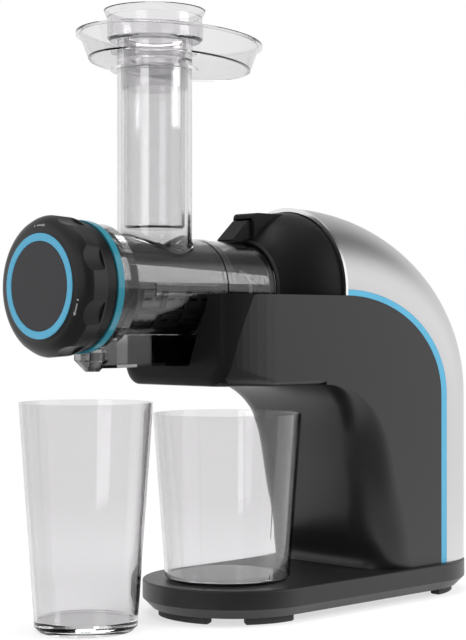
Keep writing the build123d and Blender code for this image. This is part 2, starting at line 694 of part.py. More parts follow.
def housing_left(right):
    """Far half shell: the other one mirrored, with the switch's opening."""
    half = mirror(right, about=Plane.XZ)
    return half - slab(SWITCH_X - SWITCH_L / 2, SWITCH_X + SWITCH_L / 2, BODY_HALF_W - 10,
                       BODY_HALF_W + 10, SWITCH_Z - SWITCH_H / 2, SWITCH_Z + SWITCH_H / 2)


def trough_room(wall):
    """Room the drum takes in the cradle: barrel, slot for duct and chute, and the pulp's way down."""
    x0, x1 = NOSE_X - 1, BULKHEAD_X
    floor = AXIS_Z - SLOT_DROP - wall
    half_low, (half_top, drop) = SLOT_HALF_W + wall, SLOT_TOP
    half_top += wall
    corners = [(-half_low, floor), (half_low, floor), (half_top, AXIS_Z - drop), (-half_top, AXIS_Z - drop)]
    slot = make_face(Polyline(*[(x0, y, z) for y, z in corners], close=True).edges())
    room = rod_x(TROUGH_R + wall, x0, x1) + extrude(slot, amount=x1 - x0, dir=(1, 0, 0))
    return room + box_about(CHUTE_X0 - 2 - wall, CHUTE_X1 + 2 + wall, CHUTE_HALF_W + 3 + wall, 0, AXIS_Z)


def drum_cradle():
    """Front end of the arm and the trough under the drum: one thin-walled moulding, open below."""
    rear = BULKHEAD_X - SEAT_GAP
    floor = ARM_UNDER + WALL + SEAT_GAP
    top = ARM_TOP - CRADLE_STEP
    half_w = CRADLE_HALF_W - SEAT_GAP
    rise, crest = seam_arcs(-SEAT_GAP)
    front = NOSE_X - 1
    edges = [rise.edge(), crest.edge(), Line(crest @ 1, (front, 0, ARM_TOP)).edge(),
             Line((front, 0, ARM_TOP), (front, 0, ARM_UNDER)).edge(),
             Line((front, 0, ARM_UNDER), rise @ 0).edge()]
    region = side_plate(edges, BODY_HALF_W + 1) + box_about(front, rear, half_w, floor, top)
    body = arm_block(0) & region
    pocket = box_about(NOSE_X + POCKET_BACK, rear - WALL, half_w - WALL, floor - 1, top - WALL)
    body -= pocket - trough_room(WALL)
    return body - trough_room(0)


def dome():
    """Dome between the drum's socket and the arch, and the outline of the room inside it."""
    edge = BODY_INNER_W - TRIM_PROUD
    front = DOME_X
    bulge = edge - DOME_DROP
    outer = ThreePointArc((front, 0, SOCKET_R), (BULKHEAD_X - DOME_MID_FRONT, 0, bulge), (ARCH_X, 0, edge))
    inner = ThreePointArc((front + 3, 0, SOCKET_R), (BULKHEAD_X + 0.5, 0, bulge - WALL),
                          (ARCH_X, 0, edge - WALL))
    edges = [outer.edge(), Line(outer @ 1, inner @ 1).edge(), inner.edge(),
             Line(inner @ 0, outer @ 0).edge()]
    shell = turned_x(edges) & box_about(0, ARCH_X + 1, FAR, ARM_TOP + SEAT_GAP, FAR)
    below = Polyline(inner @ 1, (ARCH_X, 0, 0), (front + 3, 0, 0), inner @ 0)
    return shell, turned_x(inner.edges() + below.edges())


def bulkhead():
    """Wall behind the drum, with the posts that carry the gearbox."""
    body = box_about(BULKHEAD_X, BULKHEAD_X + BULKHEAD_T, CRADLE_HALF_W - SEAT_GAP,
                     ARM_UNDER + WALL + SEAT_GAP, ARM_TOP)
    upper = box_about(0, FAR, FAR, AXIS_Z - 10, FAR)
    body += rod_x(BULKHEAD_R, BULKHEAD_X, BULKHEAD_X + BULKHEAD_T) & upper
    for y, z in case_posts():
        body += rod_x(POST_R, BULKHEAD_X + 1, CASE_X, z, y)
        body -= rod_x(SCREW_R + RUN_FIT, CASE_X - POST_PILOT_L, CASE_X + 1, z, y)
    return body


def latch_block(room):
    """Block on the dome that carries the latch."""
    half_w = LATCH_HALF_W + LATCH_CHEEK
    block = box_about(DOME_X, ARCH_X, half_w, AXIS_Z + SOCKET_R - 1, LATCH_PIN_Z + LATCH_BLOCK_H)
    front_top = block.edges().filter_by(Axis.Y).group_by(Axis.X)[0].sort_by(Axis.Z)[-1]
    block = fillet(front_top, 4)
    block -= room + rod_x(SOCKET_R - 1, 0, DOME_X + 10)
    rear_room = box_about(LATCH_PIN_X + 9 + WALL, FAR, half_w - WALL, 0, LATCH_PIN_Z + LATCH_BLOCK_H - WALL)
    trim_room = tube_x(FAR, BODY_INNER_W - SEAT_GAP, ARCH_X - TRIM_L - SEAT_GAP, ARCH_X + 1, SPINE_EDGE_Z)
    return block - rear_room - trim_room


def housing_face():
    """Dome with the drum's socket, the bulkhead and the latch's block."""
    shell, room = dome()
    body = shell + tube_x(SOCKET_R, SOCKET_BORE_R, DOME_X, BULKHEAD_X + 1) + bulkhead() + latch_block(room)
    end = BULKHEAD_X + BULKHEAD_T + 1
    body -= rod_x(SHAFT_SEAL_R + SEAT_GAP / 2, BULKHEAD_X - 1, end)
    for key in ring_of(drum_key(FREE_GAP), 3, first=KEY_FIRST):
        body -= key
    body -= box_about(LATCH_PIN_X - 20, LATCH_PIN_X + 9, LATCH_HALF_W + FREE_GAP,
                      AXIS_Z + SOCKET_R + 0.8, LATCH_PIN_Z + LATCH_ROOM)
    body -= rod_x(INTERLOCK_PLUNGER_R + 0.5, BULKHEAD_X - 1, end, AXIS_Z - INTERLOCK_DROP, INTERLOCK_Y)
    return body - rod_y(LATCH_PIN_R, LATCH_HALF_W + LATCH_PIN_END + SEAT_GAP, LATCH_PIN_X, LATCH_PIN_Z)


def case_posts():
    """(y, z) of the four posts that carry the gearbox on the bulkhead."""
    return [(y, AXIS_Z + z) for y in (-POST_Y, POST_Y) for z in (-POST_DZ, POST_DZ)]


def docking_seal():
    """Dark ring where the drum meets the dome."""
    return tube_x(SOCKET_R, BARREL_R + 0.5, BARREL_END_X + 0.3, DOME_X)


def release_latch():
    """Lever that bears on the drum from above; its front edge is lifted with a finger."""
    x, z = LATCH_PIN_X, LATCH_PIN_Z
    low = AXIS_Z + BARREL_R + FREE_GAP + SEAT_GAP
    seal_top = AXIS_Z + SOCKET_R + 2 * FREE_GAP
    points = [(x - 28.5, low), (x - 29.3, low + 0.8), (x - 13.5, z + LATCH_TOP), (x + 4.5, z + LATCH_TOP),
              (x + 7.5, z + 3.5), (x + 7.5, z - 3), (x + 3, z - 4), (x - 4, z - 5), (x - 12, seal_top),
              (x - 19, low)]
    lever = side_plate(outline(points), LATCH_HALF_W)
    lever = fillet(lever.edges().filter_by(Axis.Y).group_by(Axis.Z)[-1], 1.2)
    notch = SPRING_HALF_W + FREE_GAP
    lever -= rod_y(SPRING_R + SPRING_WIRE + FREE_GAP, notch, x, z)
    lever -= box_about(x, x + 10, notch, z - 10, z)
    return lever - rod_y(LATCH_PIN_R + RUN_FIT, FAR, x, z)


def latch_pin():
    """Pivot of the latch."""
    return rod_y(LATCH_PIN_R, LATCH_HALF_W + LATCH_PIN_END, LATCH_PIN_X, LATCH_PIN_Z)


def latch_spring():
    """Torsion spring round the latch pin, in the lever's notch; its leg stands on the socket."""
    length = SPRING_PITCH * SPRING_TURNS
    path = Helix(SPRING_PITCH, length, SPRING_R)
    section = Plane(origin=path @ 0, z_dir=path % 0) * Circle(SPRING_WIRE / 2)
    coil = sweep(section, path=path, is_frenet=True)
    coil = Pos(LATCH_PIN_X, length / 2, LATCH_PIN_Z) * Rot(90, 0, 0) * coil
    leg = rod_z(SPRING_WIRE / 2, LATCH_PIN_X + SPRING_R, length / 2,
                AXIS_Z + SOCKET_R + 0.9, LATCH_PIN_Z - 0.1)
    return [coil, leg]


# --- drum -------------------------------------------------------------------------------------
def drum_key(gap=0.0):
    """Key on the drum's spigot that stops it turning in the socket."""
    half_w, height = KEY_W / 2 + gap, KEY_H + gap
    low = AXIS_Z + SPIGOT_R - 0.5
    return box_about(BARREL_END_X + 0.8 - gap, SPIGOT_END_X + gap, half_w, low, low + 0.25 + height)


def duct_block(inset):
    """Juice duct under the barrel: narrow at the spout, its floor sloping down towards it."""
    x0, x1 = SPOUT_X + inset, DUCT_REAR_X - inset
    side = [(x0, AXIS_Z - DUCT_FRONT_DROP + inset), (x1, AXIS_Z - DUCT_REAR_DROP + inset),
            (x1, AXIS_Z - BARREL_R / 3), (x0, AXIS_Z - BARREL_R / 3)]
    tip, half_w = DUCT_TIP_HALF_W - inset, DUCT_HALF_W - inset
    plan = [(x0, -tip), (x0 + DUCT_TAPER_L, -half_w), (x1, -half_w), (x1, half_w),
            (x0 + DUCT_TAPER_L, half_w), (x0, tip)]
    column = extrude(make_face(Polyline(*plan, close=True).edges()), amount=AXIS_Z)
    return side_plate(outline(side), DUCT_HALF_W) & column


def spout_cone():
    """Spout below the flange."""
    top = AXIS_Z - FLANGE_R + 2
    points = [(0, SPOUT_TIP), (SPOUT_TIP_R, SPOUT_TIP), (SPOUT_TOP_R, SPOUT_TIP + SPOUT_FLARE_H),
              (SPOUT_TOP_R, top), (0, top)]
    return turned_z(outline(points), SPOUT_X, 0)


def spout_bell():
    """Funnel-shaped hole in the spout."""
    top = AXIS_Z - FLANGE_R - 1
    points = [(0, SPOUT_TIP - 1), (SPOUT_MOUTH_R, SPOUT_TIP - 1), (SPOUT_MOUTH_R, SPOUT_TIP + 1),
              (SPOUT_BELL_R, SPOUT_TIP + SPOUT_FLARE_H), (SPOUT_BELL_R, top), (0, top)]
    return turned_z(outline(points), SPOUT_X, 0)


def drum_front(r_flange, r_barrel):
    """Flange and cone as a full round body."""
    return turned_x(outline([(FLANGE_X, 0), (FLANGE_X, r_flange), (FLANGE_END_X, r_flange),
                             (CONE_END_X, r_barrel), (CONE_END_X, 0)]))


def barrel_rails():
    """Ridges on the barrel's sides."""
    x0 = CONE_END_X + RAIL_BACK
    rails = []
    for side in (-1, 1):
        y = side * (BARREL_R - 0.4)
        for dz in RAIL_DZ:
            z = AXIS_Z + dz
            rails.append(slab(x0, x0 + RAIL_L, y - RAIL_DEPTH / 2, y + RAIL_DEPTH / 2,
                              z - RAIL_W / 2, z + RAIL_W / 2))
    return rails


def drum_outside():
    """The drum's moulding before it is hollowed."""
    body = rod_x(BARREL_R, CONE_END_X - 1, BARREL_END_X) + rod_z(TUBE_R, TUBE_X, 0, AXIS_Z, TUBE_TOP)
    saddle = [e for e in body.edges() if e.geom_type not in (GeomType.LINE, GeomType.CIRCLE)
              and e.center().Z > AXIS_Z + 5]
    body = fillet(saddle, SADDLE_ROUND)
    body += drum_front(FLANGE_R, BARREL_R) + rod_x(SPIGOT_R, BARREL_END_X - 1, SPIGOT_END_X)
    body += rod_z(TUBE_FLANGE_R, TUBE_X, 0, TUBE_TOP, TUBE_TOP + TUBE_FLANGE_T)
    under = duct_block(0) + spout_cone()
    body += under - rod_x(RING_R + SEAT_GAP, 0, FLANGE_X + RING_W + SEAT_GAP)
    body += box_about(CHUTE_X0, CHUTE_X1, CHUTE_HALF_W, CHUTE_BOTTOM, AXIS_Z - 10)
    collar = CONE_END_X + COLLAR_BACK
    body += rod_x(BARREL_R + COLLAR_H, collar, collar + COLLAR_W)
    for piece in barrel_rails() + ring_of(drum_key(), 3, first=KEY_FIRST):
        body += piece
    return body


def duct_room():
    """Hollow of the juice duct: open to the strainer above, closed under the flange and the rear."""
    room = duct_block(DUCT_WALL)
    window = box_about(STRAINER_X0 + 2, DUCT_REAR_X - 6, DUCT_HALF_W - DUCT_WALL, 0, AXIS_Z)
    room -= rod_x(BARREL_R - 1, 0, FAR) - window
    return room - drum_front(FLANGE_R - 1, BARREL_R - 1)


def drum_body():
    """Clear moulding: barrel, feed tube, juice duct with spout, pulp chute and keyed spigot."""
    body = drum_outside()
    body -= rod_x(BARREL_BORE_R, PLUG_END_X, REAR_WALL_X)
    body -= rod_x(FLANGE_BORE_R, FLANGE_X - 1, PLUG_END_X + 1)
    body -= rod_x(PLUG_R + LUG_H + FREE_GAP, PLUG_END_X - LUG_L - 1.5, PLUG_END_X + 1)
    body -= rod_x(BARREL_BORE_R - 4, REAR_WALL_X + REAR_WALL_T, SPIGOT_END_X + 1)
    body -= rod_x(REAR_SEAT_R, REAR_WALL_X - 1, REAR_WALL_X + REAR_WALL_T + 1)
    body -= rod_z(TUBE_BORE_R, TUBE_X, 0, AXIS_Z, TUBE_TOP + TUBE_FLANGE_T + 1)
    for slot in ring_of(cap_lug(PUSHER_FIT, FLANGE_X - 1), 3, first=LUG_FREE_TURN):
        body -= slot
    body -= duct_room()
    body -= spout_bell()
    return body - box_about(CHUTE_X0 + CHUTE_WALL, CHUTE_X1 - CHUTE_WALL, CHUTE_HALF_W - CHUTE_WALL,
                            0, AXIS_Z - 10)


def cap_lug(gap=0.0, front=None):
    """Bayonet lug on the cap's plug; with a gap and a front end it is the slot it enters by."""
    end = PLUG_END_X - 0.5
    x0 = end - LUG_L if front is None else front
    ring = tube_x(PLUG_R + LUG_H + gap / 2, PLUG_R - 1, x0, end + gap)
    points = wedge(PLUG_R * 2, LUG_ANGLE / 2 + gap * 2)
    face = make_face(Polyline(*[(0, a, b) for a, b in points], close=True).edges())
    return ring & (Pos(x0 - 1, 0, AXIS_Z) * extrude(face, amount=FAR, dir=(1, 0, 0)))


def front_ring():
    """Teal ring on the drum's front flange."""
    return tube_x(RING_R, FLANGE_R + RUN_FIT, FLANGE_X, FLANGE_X + RING_W)


def drum_seal():
    """Lip seal in the drum's rear wall, round the auger's neck."""
    return tube_x(REAR_SEAT_R - RUN_FIT, AUGER_NECK_R + RUN_FIT, REAR_WALL_X, REAR_WALL_X + REAR_WALL_T)


def basket_cut(x0, length, half_w, degrees):
    """Cutter through the strainer's lower wall at an angle."""
    cutter = box_about(x0, x0 + length, half_w, AXIS_Z - BARREL_R - 5, AXIS_Z - BARREL_R / 2)
    return about_axis(cutter, degrees)


def strainer_frame():
    """Strainer basket's frame: an open cage under the feed opening."""
    body = tube_x(STRAINER_R, MESH_R, STRAINER_X0, STRAINER_X1)
    body -= rod_z(TUBE_BORE_R - 2, TUBE_X, 0, AXIS_Z, TUBE_TOP)
    first = STRAINER_X0 + STRAINER_BAR
    pitch = (STRAINER_X1 - first) / STRAINER_BAYS
    for i in range(STRAINER_BAYS):
        for deg in WINDOW_DEGREES:
            body -= basket_cut(first + i * pitch, pitch - STRAINER_BAR, WINDOW_HALF_W, deg)
    return body


def strainer_mesh():
    """Perforated steel sleeve inside the frame's lower half."""
    body = tube_x(MESH_R, MESH_R - MESH_T, STRAINER_X0 + 1, STRAINER_X1 - 1)
    body &= box_about(0, FAR, FAR, 0, AXIS_Z + 6)
    pitch = (STRAINER_X1 - STRAINER_X0 - 6) / MESH_SLOTS
    for i in range(MESH_SLOTS):
        for deg in WINDOW_DEGREES:
            body -= basket_cut(STRAINER_X0 + 6 + i * pitch, MESH_SLOT_L, 1, deg)
    return body


def auger_core():
    """Auger's core, which swells towards the press end, with its neck through the rear wall."""
    rear = REAR_WALL_X - FREE_GAP
    neck_end = REAR_WALL_X + 4.5
    return turned_x(outline([
        (FLIGHT_X0 - 6, SLEEVE_BORE_R), (FLIGHT_X0 - 6, AUGER_CORE_R - 2), (FLIGHT_X0, AUGER_CORE_R),
        (TUBE_X, AUGER_CORE_R + 1), (FLIGHT_END_X, AUGER_PRESS_R), (FLIGHT_END_X + 8, AUGER_PRESS_R),
        (FLIGHT_END_X + 20, AUGER_CORE_R + 1), (rear, AUGER_CORE_R + 1), (rear, AUGER_NECK_R),
        (neck_end, AUGER_NECK_R), (neck_end, SLEEVE_BORE_R)]))


def auger_turn(run):
    """Up to one turn of the flight, along +Z from the origin."""
    path = Helix(FLIGHT_PITCH, run, FLIGHT_R)
    half, root = FLIGHT_T / 2, AUGER_CORE_R - 3
    section = Polyline((root, 0, -half - 1), (FLIGHT_R, 0, -half + FLIGHT_DRAFT),
                       (FLIGHT_R, 0, half - FLIGHT_DRAFT), (root, 0, half + 1), close=True)
    return sweep(make_face(section.edges()), path=path, is_frenet=True)


def auger_flight():
    """Helical flight of the auger in equal pieces, because a sweep of several turns can't be fused."""
    length = FLIGHT_END_X - FLIGHT_X0
    count = math.ceil(length / FLIGHT_PITCH)
    step = length / count
    piece = Rot(0, 90, 0) * auger_turn(step)
    return [Pos(FLIGHT_X0 + i * step, 0, AXIS_Z) * Rot(360 * i * step / FLIGHT_PITCH, 0, 0) * piece
            for i in range(count)]


def auger():
    """Screw with its flight, and two paddles that push the pulp into the chute."""
    body = auger_core()
    for piece in auger_flight():
        body += piece
    paddle = box_about(FLIGHT_END_X + 8, REAR_WALL_X - 1, PADDLE_T / 2, AXIS_Z + 8, AXIS_Z + FLIGHT_R - 1)
    for copy in ring_of(paddle, 2):
        body += copy
    return body


def auger_shaft():
    """Steel shaft through the auger: journal in the cap, hexagon in the output coupling."""
    core = rod_x(AUGER_JOURNAL_R, BUSH_X0 + 1, REAR_WALL_X + 5)
    return core + hex_x(HEX_AF, REAR_WALL_X + 4, HEX_END_X)


def hex_x(across_flats, x0, x1):
    """Hexagonal bar along X."""
    hexagon = RegularPolygon(across_flats / 2, 6, major_radius=False)
    return Pos(x0, 0, AXIS_Z) * Rot(0, 90, 0) * extrude(hexagon, amount=x1 - x0)


# --- cap --------------------------------------------------------------------------------------
def cap_outline():
    """Half section of the screw cap: grip, skirt, plug and the sleeve for the bush."""
    crown = ThreePointArc((1.2, 0, CAP_RING_R_OUT + 2.6), (3.2, 0, CAP_R - 4), (9.0, 0, CAP_R))
    plug_in, sleeve_out, sleeve_in = PLUG_R - PLUG_WALL, BUSH_R + 3, BUSH_R + RUN_FIT
    inlay = CAP_INLAY_T + 0.1
    points = [(9.0, CAP_R), (CAP_GRIP_END_X - 1, CAP_R - 0.6), (CAP_GRIP_END_X, CAP_SKIRT_R),
              (CAP_END_X, CAP_SKIRT_R), (CAP_END_X, CAP_SKIRT_R - WALL),
              (CAP_GRIP_END_X, CAP_SKIRT_R - WALL), (6, PLUG_R + 1.4), (6, PLUG_R),
              (PLUG_END_X, PLUG_R), (PLUG_END_X, plug_in), (6, plug_in), (6, sleeve_out),
              (BUSH_END_X - 1, sleeve_out), (BUSH_END_X - 1, sleeve_in), (3.2, sleeve_in),
              (3.2, 0), (inlay, 0), (inlay, CAP_RING_R_OUT + 0.1), (0.6, CAP_RING_R_OUT + 0.1),
              (1.2, CAP_RING_R_OUT + 2.6)]
    return crown.edges() + Polyline(*[(a, 0, b) for a, b in points]).edges()


def cap_grip():
    """Screw cap: scalloped grip, skirt, and the plug with its bayonet lugs."""
    body = turned_x(cap_outline())
    scallop_z = AXIS_Z + CAP_R + SCALLOP_R - SCALLOP_DEPTH
    scallop = rod_x(SCALLOP_R, 3, CAP_GRIP_END_X - 2.5, scallop_z)
    for cut in ring_of(scallop, SCALLOPS, first=180 / SCALLOPS):
        body -= cut
    body -= tube_x(PLUG_R + 1, PLUG_R - 1.3, GASKET_X, GASKET_X + GASKET_W + 0.2)
    for lug in ring_of(cap_lug(), 3):
        body += lug
    return body


def cap_disc():
    """Smooth face inside the cap's ring."""
    return rod_x(CAP_RING_R_IN - 0.1, 0.3, CAP_INLAY_T)


def cap_ring():
    """Blue ring inlaid in the cap's face."""
    ring = tube_x(CAP_RING_R_OUT, CAP_RING_R_IN, 0, CAP_INLAY_T)
    return fillet(ring.edges().group_by(Axis.X)[0], 0.8)


def cap_gasket():
    """Sealing ring in the plug's groove."""
    return tube_x(PLUG_R + 0.25, PLUG_R - 1.25, GASKET_X + 0.1, GASKET_X + 0.1 + GASKET_W)


def cap_bush():
    """Bearing bush for the auger's journal."""
    body = rod_x(BUSH_R, BUSH_X0 - 4, BUSH_END_X)
    return body - rod_x(AUGER_JOURNAL_R + RUN_FIT, BUSH_X0, BUSH_END_X + 1)


# --- tray and pusher --------------------------------------------------------------------------
def tray_plane():
    """Plane of the tray's plan, turned on the tube's axis."""
    yaw = math.radians(TRAY_YAW)
    return Plane(origin=(TUBE_X, 0, 0), x_dir=(math.cos(yaw), math.sin(yaw), 0))


def dish(inset, low, high):
    """Oval bowl body whose wall leans outwards."""
    edge = inset + TRAY_WALL
    bottom = Ellipse(TRAY_A - TRAY_LEAN - edge, TRAY_B - TRAY_LEAN - edge)
    top = Ellipse(TRAY_A - edge, TRAY_B - edge)
    plane = tray_plane()
    return loft([plane * Pos(TRAY_OFFSET, 0, low) * bottom, plane * Pos(TRAY_OFFSET, 0, high) * top])


def feed_tray():
    """Oval dish with its chimney and the spigot that stands in the feed tube."""
    floor_under = TRAY_FLOOR - TRAY_WALL
    body = dish(0, floor_under, TRAY_RIM) - dish(TRAY_WALL, TRAY_FLOOR, TRAY_RIM + 0.01)
    rim = Ellipse(TRAY_A, TRAY_B) - Ellipse(TRAY_A - TRAY_RIM_W, TRAY_B - TRAY_RIM_W)
    body += tray_plane() * Pos(TRAY_OFFSET, 0, TRAY_RIM - TRAY_RIM_T) * extrude(rim, amount=TRAY_RIM_T)
    spigot_r = TUBE_BORE_R - TRAY_SPIGOT_FIT
    body += rod_z(spigot_r + CHIMNEY_WALL, TUBE_X, 0, TUBE_TOP + TUBE_FLANGE_T + SEAT_GAP, CHIMNEY_TOP)
    body += rod_z(spigot_r, TUBE_X, 0, TRAY_SPIGOT_Z, TRAY_FLOOR)
    return body - rod_z(PUSHER_R + PUSHER_FIT, TUBE_X, 0, TRAY_SPIGOT_Z - 1, CHIMNEY_TOP + 1)


def pusher():
    """Hollow pusher, open at the top, with a wide head."""
    head = CHIMNEY_TOP + SEAT_GAP
    flare = PUSHER_TOP - PUSHER_FLARE_H
    wall = PUSHER_WALL
    outside = [(0, PUSHER_BOTTOM), (PUSHER_R - 2, PUSHER_BOTTOM), (PUSHER_R, PUSHER_BOTTOM + 2),
               (PUSHER_R, head), (PUSHER_HEAD_R - 2, head), (PUSHER_HEAD_R, head + 2),
               (PUSHER_HEAD_R, flare), (PUSHER_FLARE_R, PUSHER_TOP)]
    inside = [(PUSHER_FLARE_R - wall, PUSHER_TOP), (PUSHER_HEAD_R - wall, flare),
              (PUSHER_HEAD_R - wall, head + wall), (PUSHER_R - wall, head + wall),
              (PUSHER_R - wall, PUSHER_BOTTOM + wall), (0, PUSHER_BOTTOM + wall)]
    return turned_z(outline(outside + inside), TUBE_X, 0)


# --- drive ------------------------------------------------------------------------------------
def tooth_flank(module, teeth, addendum):
    """(radius, half angle) points up one flank of an involute tooth."""
    pitch_r = module * teeth / 2
    base_r = pitch_r * math.cos(PRESSURE)
    tip_r = pitch_r + addendum * module
    root_r = pitch_r - ROOT_DEPTH * module
    half_at_pitch = math.pi / (2 * teeth) - BACKLASH / (4 * pitch_r)
    start_r = max(base_r, root_r)
    steps = 3
    flank = []
    for i in range(steps + 1):
        radius = start_r + (tip_r - start_r) * i / steps
        lean = math.acos(min(1.0, base_r / radius))
        flank.append((radius, half_at_pitch + math.tan(PRESSURE) - PRESSURE - math.tan(lean) + lean))
    if root_r < start_r:
        flank.insert(0, (root_r, flank[0][1]))
    return flank


def spur_gear(module, teeth, width, addendum, bore):
    """Involute spur gear about local Z; one tooth points along local +X."""
    flank = tooth_flank(module, teeth, addendum)
    points = []
    for tooth in range(teeth):
        centre = 2 * math.pi * tooth / teeth
        points += [(r * math.cos(centre - a), r * math.sin(centre - a)) for r, a in flank]
        points += [(r * math.cos(centre + a), r * math.sin(centre + a)) for r, a in reversed(flank)]
    face = make_face(Polyline(*points, close=True).edges())
    return extrude(face, amount=width) - Pos(0, 0, width / 2) * Cylinder(bore, width + 2)


def gear_x(module, teeth, x0, width, z, addendum, bore, half_pitch=False):
    """Spur gear with its axis along X; the first tooth, or a gap, points down."""
    turn = 180 / teeth if half_pitch else 0
    body = spur_gear(module, teeth, width, addendum, bore)
    return Pos(x0, 0, z) * Rot(0, 90, 0) * Rot(0, 0, turn) * body


def lightened(body, x0, width, module, centre_z, hole_r):
    """Gear with a ring of six holes through its web."""
    hole_circle = module * TEETH_BIG / 4 + hole_r * 0.4
    for hole in ring_of(rod_x(hole_r, x0 - 1, x0 + width + 1, centre_z + hole_circle), 6, centre_z):
        body -= hole
    return body


def output_gear():
    """Large gear on the output shaft."""
    body = gear_x(MODULE_1, TEETH_BIG, OUT_GEAR_X, OUT_GEAR_W, AXIS_Z, WHEEL_ADDENDUM, OUT_SHAFT_R)
    return lightened(body, OUT_GEAR_X, OUT_GEAR_W, MODULE_1, AXIS_Z, 8)


def output_shaft():
    """Output shaft with the hexagonal coupling that drives the auger."""
    coupling_end = BULKHEAD_X - 1
    body = rod_x(OUT_SHAFT_R, coupling_end - 1, REAR_BEARING_X + BEARING_W - 0.5)
    body += rod_x(COUPLING_R, COUPLING_X, coupling_end)
    return body - hex_x(HEX_AF + HEX_FIT, COUPLING_X - 1, COUPLING_X + COUPLING_BORE_L)


def shaft_seal():
    """Lip seal round the output shaft in the bulkhead."""
    return tube_x(SHAFT_SEAL_R, OUT_SHAFT_R + RUN_FIT, BULKHEAD_X, BULKHEAD_X + BULKHEAD_T)


def bearing(x0):
    """Ball bearing as one ring, with the grooves of its two shields."""
    body = tube_x(BEARING_R, OUT_SHAFT_R + RUN_FIT, x0, x0 + BEARING_W)
    groove = tube_x(BEARING_R - BEARING_RING, OUT_SHAFT_R + BEARING_RING, x0 - 1, x0 + 0.5)
    return body - groove - Pos(BEARING_W + 0.5, 0, 0) * groove


def counter_gear():
    """Large gear on the countershaft."""
    body = gear_x(MODULE_2, TEETH_BIG, COUNTER_GEAR_X, COUNTER_GEAR_W, COUNTER_Z, WHEEL_ADDENDUM,
                  COUNTER_SHAFT_R)
    return lightened(body, COUNTER_GEAR_X, COUNTER_GEAR_W, MODULE_2, COUNTER_Z, 5)


def counter_pinion():
    """Small gear on the countershaft, in mesh with the output gear."""
    return gear_x(MODULE_1, TEETH_SMALL, OUT_GEAR_X, OUT_GEAR_W, COUNTER_Z, PINION_ADDENDUM,
                  COUNTER_SHAFT_R, half_pitch=True)


def countershaft():
    """Shaft between the two gear stages."""
    return rod_x(COUNTER_SHAFT_R, CASE_X + WALL + 0.5, MOTOR_PLATE_X - 0.5, COUNTER_Z)


def countershaft_bushes():
    """Plain bushes at both ends of the countershaft."""
    ends = ((CASE_X + WALL, OUT_GEAR_X - 0.5), (COUNTER_GEAR_X + COUNTER_GEAR_W + 0.5, MOTOR_PLATE_X))
    return [tube_x(BUSH_OUT_R, COUNTER_SHAFT_R + RUN_FIT, x0, x1, COUNTER_Z) for x0, x1 in ends]


def motor_pinion():
    """Small gear on the rotor's shaft."""
    return gear_x(MODULE_2, TEETH_SMALL, COUNTER_GEAR_X - 0.5, COUNTER_GEAR_W + 1, MOTOR_Z,
                  PINION_ADDENDUM, MOTOR_SHAFT_R, half_pitch=True)


def lobes(circles, x0, x1):
    """Prism along X round the tangent hull of circles given as (z, radius)."""
    rounds = [Pos(-z, 0) * Circle(r) for z, r in circles]
    hull = make_hull([e for c in rounds for e in c.edges()])
    return Pos(x0, 0, 0) * Rot(0, 90, 0) * extrude(hull, amount=x1 - x0)


def stage_lobes(module, big_z, small_z, inset):
    """Circles round a large and a small gear, with the gearbox's clearance and wall."""
    reach = module + 1 + WALL - inset
    return [(big_z, module * TEETH_BIG / 2 + reach), (small_z, module * TEETH_SMALL / 2 + reach)]


def stage_1(inset):
    """Chamber of the output stage."""
    return stage_lobes(MODULE_1, AXIS_Z, COUNTER_Z, inset)


def stage_2(inset):
    """Chamber of the motor stage."""
    return stage_lobes(MODULE_2, COUNTER_Z, MOTOR_Z, inset)


def gearbox_case():
    """Front half of the gearbox: the output stage's chamber, open to the rear."""
    body = lobes(stage_1(0), CASE_X, CASE_SPLIT_X) - lobes(stage_1(WALL), CASE_X + WALL, CASE_SPLIT_X + 1)
    body += rod_x(BEARING_R + WALL, FRONT_BEARING_X, CASE_X + 1)
    body -= rod_x(BEARING_R + RUN_FIT, FRONT_BEARING_X - 1, FRONT_BEARING_X + BEARING_W)
    body -= rod_x(OUT_SHAFT_R + 1, CASE_X - 5, CASE_X + 10)
    body += tube_x(BUSH_BOSS_R, BUSH_OUT_R + RUN_FIT, CASE_X + WALL - 0.5, OUT_GEAR_X - 1, COUNTER_Z)
    for y, z in case_posts():
        body -= rod_x(SCREW_R + 0.3, CASE_X - 1, CASE_X + WALL + 1, z, y)
    return body


def gearbox_cover():
    """Rear half: closes the output stage and holds the counter gear's chamber."""
    body = lobes(stage_1(0), CASE_SPLIT_X, CASE_SPLIT_X + WALL)
    body += lobes(stage_2(0), CASE_SPLIT_X, MOTOR_PLATE_X)
    body -= lobes(stage_2(WALL), CASE_SPLIT_X + WALL, MOTOR_PLATE_X + 1)
    body += rod_x(BEARING_R + WALL, CASE_SPLIT_X, REAR_BEARING_X + BEARING_W + WALL)
    body -= rod_x(BEARING_R + RUN_FIT, CASE_SPLIT_X - 2, REAR_BEARING_X + BEARING_W)
    body -= rod_x(COUNTER_SHAFT_R + 1, CASE_SPLIT_X - 1, CASE_SPLIT_X + WALL + 1, COUNTER_Z)
    return body


def gearbox_screws():
    """Screws through the case's front wall into the bulkhead's posts."""
    inner = CASE_X + WALL
    tip = CASE_X - POST_PILOT_L + 1
    return [rod_x(SCREW_R, tip, inner, z, y) + rod_x(SCREW_HEAD_R, inner, inner + 2, z, y)
            for y, z in case_posts()]


def motor_screw_places():
    """(y, z) of the screws that hold the motor on its plate."""
    return [(y, MOTOR_Z - MOTOR_SCREW_DROP) for y in (-MOTOR_SCREW_Y, MOTOR_SCREW_Y)]


